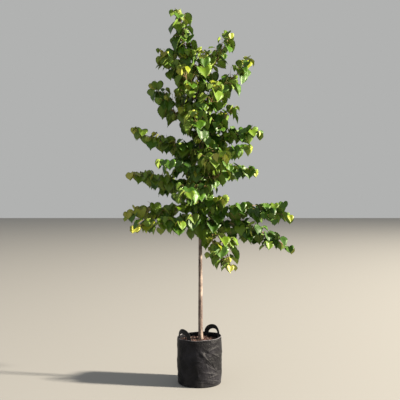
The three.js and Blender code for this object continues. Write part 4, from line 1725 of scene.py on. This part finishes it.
@dataclass
class PlantingBag:
    """The round woven bag: a soft shell that slumps a little, with a folded and stitched hem."""

    foot: float = 140.0
    heel: float = 147.0
    heel_height: float = 11.0
    belly: float = 151.0
    belly_height: float = 130.0
    rim: float = 147.0
    high_height: float = 205.0
    height: float = 318.0
    wall: float = 2.5
    hem_wall: float = 4.0
    hem_depth: float = 26.0
    soil_edge: float = 284.0
    lobes: float = 0.014
    ripples: float = 0.008
    rim_sag: float = 8.0
    sag_azimuth: float = 200.0
    seam_azimuth: float = 128.0
    handle_azimuths: Pair = (46.0, 217.0)
    handle_span: float = 23.0
    sides: int = 360
    creases: int = 84
    crease_limit: float = 4.2
    stitches: int = 140
    stitch_share: float = 0.62
    seam_gap: float = 7.5
    seam_off: float = 7.0
    stitch_size: Pair = (4.6, 0.62)
    thread_lift: float = 0.35
    base_rings: tuple[Pair, ...] = (
        (45.0, 0.0), (90.0, 0.0), (128.0, 0.0), (139.0, 0.0), (143.5, 1.4), (146.2, 5.0)
    )
    lip_rings: tuple[Pair, ...] = ((0.0, -0.8), (0.15, 0.1), (0.5, 0.6), (0.85, 0.1), (1.0, -0.8))
    folds: tuple[tuple[float, ...], ...] = (
        (296.0, 172.0, -46.0, 190.0, 8.0, 5.5),
        (304.0, 150.0, -52.0, 120.0, 6.0, -4.5),
        (318.0, 205.0, -30.0, 90.0, 6.0, 4.0),
        (300.0, 92.0, -14.0, 110.0, 5.5, 5.0),
        (306.0, 70.0, 10.0, 90.0, 5.0, 4.5),
        (290.0, 52.0, -8.0, 80.0, 5.0, 3.5),
        (312.0, 112.0, -34.0, 70.0, 5.0, 4.0),
        (308.0, 252.0, 12.0, 90.0, 9.0, 5.0),
        (282.0, 238.0, -20.0, 70.0, 6.0, -3.5),
        (250.0, 150.0, 4.0, 80.0, 6.0, 3.0),
        (236.0, 216.0, 30.0, 90.0, 7.0, -3.5),
    )

    def radius(self, height: Array | float) -> Array | float:
        """Reads the round bag's taper.

        Args:
            height: places up the wall.

        Returns:
            The outer radii there.
        """
        rows = (
            (self.heel_height, self.heel),
            (60.0, self.belly - 1.0),
            (self.belly_height, self.belly),
            (self.high_height, self.belly - 0.5),
            (self.soil_edge, self.belly - 2.0),
            (self.height - self.hem_depth, self.rim + 1.0),
            (self.height, self.rim),
        )
        return np.interp(height, *np.array(rows).T)

    def slump(self, angle: Array, height: Array) -> Array:
        """Returns the factor by which the slumped wall stands further out than a round one."""
        bend = self.lobes * np.sin(2.0 * angle + 0.6) + self.ripples * np.sin(5.0 * angle + height / 70.0)
        return 1.0 + smooth_step(height, self.heel_height, self.belly_height) * bend

    def sag(self, angle: Array, height: Array) -> Array:
        """Works out how the soft rim drops.

        Args:
            angle: places round the bag, in radians.
            height: places up it.

        Returns:
            The drop in millimetres.
        """
        free = smooth_step(height, self.height - self.hem_depth, self.height)
        drop = 0.5 + 0.5 * np.cos(angle - math.radians(self.sag_azimuth))
        return self.rim_sag * free * drop + 1.4 * free * np.sin(7.0 * angle + 1.1)

    def quiet(self, angle: Array, height: Array) -> Array:
        """Says where the cloth is held smooth: at the heel and under the handles' sewn legs.

        Args:
            angle: places round the bag, in radians.
            height: places up it.

        Returns:
            1 where it may crease freely, and less where it is held.
        """
        free = smooth_step(height, 2.0, 26.0)
        for handle in self.handle_azimuths:
            for side in (-1.0, 1.0):
                leg = math.radians(handle + side * self.handle_span)
                off = np.abs(angle_from(angle, leg)) * self.belly
                near = (1.0 - smooth_step(off, 14.0, 28.0)) * smooth_step(height, 264.0, 286.0)
                free = free * (1.0 - 0.97 * near)
        return free

    def drawn_creases(self) -> list[tuple[float, ...]]:
        """Draws the cloth's small creases.

        Returns:
            Rows like those of folds: azimuth, height, tilt, length, width and depth.
        """
        draw = np.random.default_rng(33)
        creases = []
        for index in range(self.creases):
            low = index % 3 == 0
            middle = draw.uniform(22.0, 110.0) if low else draw.uniform(70.0, 268.0)
            place = draw.uniform(-180.0, 180.0)
            tilt = draw.uniform(-24.0, 24.0) if low else draw.uniform(-78.0, 78.0)
            length = draw.uniform(26.0, 78.0)
            width = draw.uniform(3.0, 6.5)
            depth = draw.uniform(1.8, 4.6) * (-1.0 if index % 2 else 1.0)
            creases.append((place, middle, tilt, length, width, depth))
        return creases

    def relief(self, angle: Array, height: Array) -> Array:
        """Works out the cloth's bulges, creases and seams.

        Args:
            angle: places round the bag, in radians.
            height: places up it.

        Returns:
            How far the cloth stands out, in millimetres.
        """
        bulges = Ripples(seed=31, count=8, turns=6, wave=130.0).at(angle, height)
        dents = Ripples(seed=32, count=10, turns=16, wave=46.0).at(angle, height)
        out = 1.5 * bulges + 0.55 * dents
        for place, middle, tilt, length, width, depth in [*self.folds, *self.drawn_creases()]:
            across = angle_from(angle, math.radians(place)) * self.belly
            rise = height - middle
            cosine, sine = math.cos(math.radians(tilt)), math.sin(math.radians(tilt))
            along = across * cosine + rise * sine
            off = rise * cosine - across * sine + 9.0 * (along / length) ** 2
            out = out + depth * np.exp(-np.abs(off) / width) * np.exp(-((along / (0.5 * length)) ** 2))
        out = np.maximum(out * self.quiet(angle, height), -self.crease_limit)
        seam = angle_from(angle, math.radians(self.seam_azimuth)) * self.belly
        lap = 1.6 * np.exp(-((seam / 3.4) ** 2)) - 0.7 * np.exp(-(((seam - self.seam_off) / 2.2) ** 2))
        out = out + smooth_step(height, 6.0, 20.0) * lap
        foot = self.height - self.hem_depth
        hem = smooth_step(height, foot - 2.5, foot + 0.5)
        rows = sum(np.exp(-(((height - row) / 1.5) ** 2)) for row in self.stitch_rows())
        ground = 1.2 * np.exp(-(((height - 15.0) / 2.4) ** 2))
        return out + 0.9 * hem - 0.8 * rows - ground

    def stitch_rows(self) -> Pair:
        """Returns the heights of the hem's two rows of stitches."""
        return self.height - self.hem_depth + 4.0, self.height - 6.0

    def outer(self, angle: Array, height: Array, out: float = 0.0) -> Array:
        """Returns points of the wall's outside, or of a surface that stands out further."""
        reach = self.radius(height) * self.slump(angle, height) + self.relief(angle, height) + out
        return round_points(reach, angle, height - self.sag(angle, height))

    def inner(self, angle: Array, height: Array) -> Array:
        """Finds points of the wall's inside.

        Args:
            angle: places round the bag, in radians.
            height: places up it.

        Returns:
            The points.
        """
        hem = self.height - self.hem_depth
        thick = self.wall + (self.hem_wall - self.wall) * smooth_step(height, hem - 2.0, hem + 2.0)
        reach = self.radius(height) * self.slump(angle, height) + self.relief(angle, height) - thick
        floor = np.interp(height, (self.wall, self.heel_height), (self.foot - 6.0, self.foot))
        reach = np.where(height < self.heel_height + 1.0, floor, reach)
        return round_points(reach, angle, height - self.sag(angle, height))

    def build_shell(self) -> None:
        """Makes the bag's cloth."""
        angle = round_angles(self.sides)[None, :]
        rings = [round_points(radius, angle[0], height) for radius, height in self.base_rings]
        wall = np.arange(self.heel_height, self.height - 0.5, 2.8)[:, None]
        rings.extend(self.outer(angle, wall))
        top = np.array([[self.height]])
        rim = self.outer(angle, top)[0]
        inside = self.inner(angle, top)[0]
        for share, lift in self.lip_rings:
            rings.append(rim + (inside - rim) * share + UP * lift)
        near_rim = np.arange(self.height - 3.0, 270.0, -3.0)
        back = np.concatenate((near_rim, np.arange(262.0, 14.0, -40.0), (self.heel_height,)))
        rings.extend(self.inner(angle, back[:, None]))
        for radius in (self.foot - 6.0, 90.0, 45.0):
            rings.append(round_points(radius, angle[0], self.wall))
        shape = loft(np.array(rings))
        lip = len(rings) - len(back) - 3
        row = np.arange(len(shape.faces[0])) // self.sides
        # Slot 1 puts the pale rim finish on the lip's outer top rows: scuffs and a painted highlight along
        # the hem's edge.
        slots = [((row >= lip - 6) & (row < lip - 1)).astype(int), np.zeros(len(shape.faces[1]), dtype=int)]
        gathered = Gathered()
        gathered.add(shape, slots)
        piece = gathered.build("bag_shell", [FabricFinish().material(), RIM_SCUFF_AND_HIGHLIGHT.material()])
        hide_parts("planting_bag")

    def build_stitches(self) -> None:
        """Makes the hem's thread and that of the side seam."""
        gathered = Gathered()
        pairs = []
        for height in self.stitch_rows():
            for index in range(self.stitches):
                ends = np.array((index, index + self.stitch_share)) * 2.0 * math.pi / self.stitches
                pairs.append((ends, np.full(2, height)))
        seam = np.full(2, math.radians(self.seam_azimuth) + self.seam_off / self.belly)
        for height in np.arange(24.0, self.height - self.hem_depth - 4.0, self.seam_gap):
            pairs.append((seam, np.array((height, height + self.stitch_size[0]))))
        for ends, heights in pairs:
            spots = self.outer(ends, heights, self.thread_lift)
            gathered.add(egg(spots.mean(axis=0), unit(spots[1] - spots[0]), *self.stitch_size))
        piece = gathered.build("hem_stitches", [HEM_THREAD.material()])
        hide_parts("planting_bag")


@dataclass
class Handle:
    """One strap handle: two legs sewn to the inside of the bag's wall and a loop that stands over the rim."""

    node: str
    azimuth: float
    bag: PlantingBag
    width: float = 32.0
    thickness: float = 2.6
    half_span: float = 23.0
    loop_height: float = 44.0
    leg_depth: float = 27.0
    lean: float = 14.0
    stand_off: float = 2.9
    leg_share: float = 0.15
    cup: float = 1.6
    wobble: float = 0.3
    box: Pair = (0.02, 0.12)
    stitch_gap: float = 5.0
    stitch_size: Pair = (3.8, 0.6)
    rings: int = 150

    def loop_share(self, u: float) -> float:
        """Returns the share of the loop that lies behind u: 0 on the first leg and 1 on the second."""
        return min(1.0, max(0.0, (u - self.leg_share) / (1.0 - 2.0 * self.leg_share)))

    def middle(self, u: float) -> Array:
        """Follows the strap's middle line.

        Args:
            u: the place along it, from 0 at one leg's foot to 1 at the other's.

        Returns:
            The point there.
        """
        loop = self.loop_share(u)
        around = math.radians(self.azimuth + self.half_span * math.cos(math.pi * loop))
        leg = min(u, 1.0 - u, self.leg_share) / self.leg_share
        height = self.bag.height - self.leg_depth * (1.0 - leg) + self.loop_height * math.sin(math.pi * loop)
        slump = float(self.bag.slump(np.array(around), np.array(min(height, self.bag.height))))
        reach = (self.bag.rim - self.bag.hem_wall) * slump - self.stand_off - self.thickness / 2.0
        return np.array((reach * math.cos(around), reach * math.sin(around), height))

    def frame(self, u: float) -> tuple[Array, Array, Array]:
        """Works out how the strap lies.

        Args:
            u: the place along it, from 0 to 1.

        Returns:
            The strap's middle there and its directions across and off its face.
        """
        middle = self.middle(u)
        along = unit(self.middle(u + 1e-3) - self.middle(u - 1e-3))
        lean = math.radians(self.lean) * math.sin(math.pi * self.loop_share(u))
        outward = unit(middle * np.array((1.0, 1.0, 0.0)))
        face = outward * math.cos(lean) + UP * math.sin(lean)
        face = unit(face - along * np.dot(face, along))
        return middle, np.cross(along, face), face

    def build(self) -> None:
        """Makes the strap and the thread that holds it."""
        edge = self.thickness / 2.0
        half = self.width / 2.0
        bend = np.linspace(-1.4, 1.4, 5)
        profile = [(half - edge * (1.0 - math.cos(a)), edge * math.sin(a)) for a in bend]
        profile += [(x, edge) for x in np.linspace(half - 3.0, 3.0 - half, 7)]
        section = np.array(profile + [(-x, -z) for x, z in profile])
        rings = []
        for u in np.linspace(0.0, 1.0, self.rings):
            middle, across, face = self.frame(u)
            loose = math.sin(math.pi * self.loop_share(u))
            cup = self.cup * loose * (section[:, 0] / half) ** 2
            wobble = self.wobble * math.sin(31.0 * u + self.azimuth)
            spots = section[:, :1] * across + (section[:, 1:] - cup[:, None] + wobble) * face
            rings.append(middle + spots)
        gathered = Gathered()
        gathered.add(loft(np.array(rings)[:, ::-1]))
        strap = gathered.build(f"{self.node}_strap", [WebbingFinish().material()])
        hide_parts(self.node)
        thread = Gathered()
        for line in self.stitch_lines():
            for start, end in line:
                thread.add(egg((start + end) / 2.0, unit(end - start), *self.stitch_size))
        seam = thread.build(f"{self.node}_thread", [HEM_THREAD.material()])
        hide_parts(self.node)

    def sewn_spot(self, x: float, u: float) -> Array:
        """Returns the point of the strap's inner face that lies x off its middle line at u."""
        middle, across, face = self.frame(u)
        return middle + across * x - face * (self.thickness / 2.0 + self.bag.thread_lift)

    def stitch_lines(self) -> list[list[tuple[Array, Array]]]:
        """Places the stitches of the crossed box on each leg.

        Returns:
            Lines of stitches, each stitch as its two ends.
        """
        half = self.width / 2.0 - 3.5
        low, high = self.box
        box = ((-half, low), (half, low), (half, high), (-half, high), (-half, low))
        routes = (box, ((-half, low), (half, high)), ((half, low), (-half, high)))
        lines = []
        for second in (False, True):
            for route in routes:
                for (x0, u0), (x1, u1) in zip(route, route[1:]):
                    length = math.hypot(x1 - x0, (u1 - u0) / self.leg_share * self.leg_depth)
                    count = max(2, round(length / self.stitch_gap))
                    line = []
                    for index in range(count):
                        ends = []
                        for share in (index / count, (index + 0.7) / count):
                            u = u0 + (u1 - u0) * share
                            ends.append(self.sewn_spot(x0 + (x1 - x0) * share, 1.0 - u if second else u))
                        line.append((ends[0], ends[1]))
                    lines.append(line)
        return lines


@dataclass
class Compost:
    """The compost in the bag, lumpy on top, with bark chips strewn on it."""

    bag: PlantingBag
    level: float = 294.0
    seat: float = 34.0
    edge: float = 289.0
    edge_radius: float = 92.0
    clear: float = 1.6
    sides: int = 150
    bare: float = 24.0
    strewn: float = 126.0
    shares: Triple = (0.42, 0.34, 0.24)
    chips: int = 330
    crumbs: int = 420

    def surface(self, x: Array, y: Array) -> Array:
        """Reads the compost's lumpy top.

        Args:
            x: places to the right.
            y: places to the back.

        Returns:
            The heights there.
        """
        radius = np.hypot(x, y)
        angle = np.arctan2(y, x)
        heights = (self.level, self.edge, self.bag.soil_edge)
        plain = np.interp(radius, (self.seat, self.edge_radius, 148.0), heights)
        lumps = Ripples(seed=51, count=9, turns=7, wave=34.0).at(angle, radius)
        grit = Ripples(seed=52, count=9, turns=19, wave=12.0).at(angle, radius)
        return plain + (1.6 * lumps + 0.8 * grit) * smooth_step(radius, 6.0, 34.0)

    def build(self) -> None:
        """Makes the compost, its chips and its crumbs."""
        angle = round_angles(self.sides)[None, :]
        gap = self.bag.wall + self.clear
        rings = []
        low = self.bag.wall + 0.3
        foot = self.bag.foot
        for radius, height in ((60.0, low), (foot - 8.0, low), (foot - 2.0, self.bag.heel_height)):
            rings.append(round_points(radius, angle[0], height))
        for height in (30.0, 60.0, 130.0, 205.0, 240.0, 268.0, 280.0):
            level = np.array([[height]])
            crease = self.bag.relief(angle, level) if height > 270.0 else -self.bag.crease_limit - 1.2
            reach = self.bag.radius(level) * self.bag.slump(angle, level) + crease - gap
            rings.append(round_points(reach[0], angle[0], height))
        outline = np.linalg.norm(rings[-1][:, :2], axis=1)
        for share in np.linspace(1.0, 0.04, 46):
            x = outline * share * np.cos(angle[0])
            y = outline * share * np.sin(angle[0])
            rings.append(np.stack((x, y, self.surface(x, y)), axis=-1))
        gathered = Gathered()
        gathered.add(loft(np.array(rings)))
        piece = gathered.build("compost_bed", [COMPOST.material()])
        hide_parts("soil")
        draw = np.random.default_rng(61)
        self.scatter(draw, "bark_chips", self.chips, self.chip)
        self.scatter(draw, "compost_crumbs", self.crumbs, self.crumb)

    def scatter(self, draw: np.random.Generator, name: str, count: int, make: Callable) -> None:
        """Strews small pieces over the compost as one mesh.

        Args:
            draw: the numbers to draw from.
            name: the piece's name.
            count: how many there are.
            make: what makes one of them at a place.
        """
        gathered = Gathered()
        for _ in range(count):
            radius = self.bare + (self.strewn - self.bare) * math.sqrt(draw.uniform(0.0, 1.0))
            angle = draw.uniform(-math.pi, math.pi)
            spot = np.array((radius * math.cos(angle), radius * math.sin(angle), 0.0))
            spot[2] = float(self.surface(np.array(spot[0]), np.array(spot[1])))
            gathered.add(make(draw, spot), int(draw.choice(3, p=self.shares)))
        piece = gathered.build(name, [finish.material() for finish in CHIP_FINISHES], 40.0)
        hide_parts("soil")

    @staticmethod
    def chip(draw: np.random.Generator, spot: Array) -> Shape:
        """Makes one flake of bark: a torn, slightly bent slab.

        Args:
            draw: the numbers to draw from.
            spot: where it lies.

        Returns:
            The flake's shape.
        """
        length = draw.uniform(11.0, 27.0)
        width = draw.uniform(5.0, 11.0)
        thick = draw.uniform(1.6, 3.6)
        ring = np.array([(0.5, 0.0), (0.42, 0.5), (-0.4, 0.5), (-0.5, 0.0), (-0.42, -0.5), (0.4, -0.5)])
        shares = np.array((-0.5, -0.42, -0.1, 0.22, 0.44, 0.5))
        taper = np.array((0.45, 0.9, 1.0, 0.95, 0.8, 0.35))
        azimuth = draw.uniform(0.0, 360.0)
        along = heading(azimuth, draw.uniform(-16.0, 16.0))
        side = turned(unit(np.cross(UP, along)), along, draw.uniform(-34.0, 34.0))
        face = np.cross(along, side)
        rings = np.empty((len(shares), len(ring), 3))
        for index, share in enumerate(shares):
            torn = ring * (1.0 + draw.uniform(-0.18, 0.18, ring.shape)) * taper[index]
            centre = spot + along * share * length + face * (thick * 0.55 - 0.8 + 3.0 * share * share)
            rings[index] = centre + torn[:, :1] * width * side + torn[:, 1:] * thick * face
        return loft(rings)

    @staticmethod
    def crumb(draw: np.random.Generator, spot: Array) -> Shape:
        """Makes one crumb.

        Args:
            draw: the numbers to draw from.
            spot: where it lies.

        Returns:
            The crumb's shape.
        """
        along = heading(draw.uniform(0.0, 360.0), draw.uniform(-50.0, 50.0))
        size = draw.uniform(2.6, 6.0)
        shape = egg(spot + UP * size * 0.18, along, size, size * draw.uniform(0.25, 0.42), 5)
        shape.points = shape.points + draw.uniform(-0.3, 0.3, shape.points.shape)
        return shape


# ---- studio


@dataclass(frozen=True)
class Lamp:
    """A soft round lamp that faces the crown, with its place and size in metres and its power in watts."""

    name: str
    place: Triple
    size: float
    power: float
    colour: Colour
    aim: Triple = (0.0, 0.0, 1.3)

    def build(self) -> None:
        """Adds the lamp to the scene."""
        lamp = bpy.data.lights.new(self.name, "AREA")
        lamp.shape = "DISK"
        lamp.size = self.size
        lamp.energy = self.power
        lamp.color = linear(self.colour)[:3]
        holder = bpy.data.objects.new(self.name, lamp)
        bpy.context.scene.collection.objects.link(holder)
        away = unit(np.array(self.place) - np.array(self.aim))
        rise = math.asin(away[2])
        holder.location = self.place
        holder.rotation_euler = (math.pi / 2.0 - rise, 0.0, math.atan2(away[1], away[0]) + math.pi / 2.0)


@dataclass
class Studio:
    """A plain pale floor, soft light from the right, and the camera. Its lengths are metres."""

    eye: Triple = (0.0034, -4.4, 1.24)
    lens: float = 58.2
    sky: tuple[float, float, float, float] = (0.88, 0.89, 0.88, 1.0)
    sky_strength: float = 0.5
    floor: Colour = (152, 151, 149)
    half: float = 40.0
    lamps: tuple[Lamp, ...] = (
        Lamp("key_lamp", (25.5, -4.4, 10.8), 2.0, 36500.0, (255, 243, 222)),
        Lamp("fill_lamp", (-3.4, -4.2, 2.6), 3.5, 24.0, (226, 236, 255)),
    )

    def build(self) -> None:
        """Makes the floor, the lamps and the camera."""
        scene = bpy.context.scene
        camera = bpy.data.cameras.new("camera")
        camera.lens = self.lens
        camera.sensor_width = 36.0
        viewer = bpy.data.objects.new("camera", camera)
        viewer.location = self.eye
        viewer.rotation_euler = (math.pi / 2.0, 0.0, 0.0)
        scene.collection.objects.link(viewer)
        scene.camera = viewer
        scene.view_settings.view_transform = "Standard"
        world = bpy.data.worlds.new("studio")
        world.use_nodes = True
        back = world.node_tree.nodes["Background"]
        back.inputs["Color"].default_value = self.sky
        back.inputs["Strength"].default_value = self.sky_strength
        scene.world = world
        for lamp in self.lamps:
            lamp.build()
        mesh = bpy.data.meshes.new("studio_floor")
        corners = [(x * self.half, y * self.half, 0.0) for x, y in ((-1, -1), (1, -1), (1, 1), (-1, 1))]
        mesh.from_pydata(corners, [], [(0, 1, 2, 3)])
        graph = Graph("studio_floor_paint", self.floor, 0.85, 0.2)
        graph.bump(graph.noise(60.0, 3.0), 0.6, 0.3)
        mesh.materials.append(graph.material)
        ground = bpy.data.objects.new("studio_floor", mesh)
        scene.collection.objects.link(ground)


def main() -> None:
    """Loads the solids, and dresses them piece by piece."""
    logging.basicConfig(level=logging.INFO, format="%(message)s")
    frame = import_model()
    LOG.info("solids: %d nodes", len(frame["nodes"]))
    Studio().build()
    bag = PlantingBag()
    bag.build_shell()
    bag.build_stitches()
    Compost(bag).build()
    for node, azimuth in zip(("handle_back_right", "handle_front_left"), bag.handle_azimuths):
        Handle(node, azimuth, bag).build()
    trunk = Trunk()
    foliage = Foliage(trunk)
    foliage.grow()
    trunk.build([mass.shoot for mass in foliage.masses[1:]])
    foliage.build_boughs()
    foliage.build()
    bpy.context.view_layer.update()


if __name__ == "__main__":
    main()
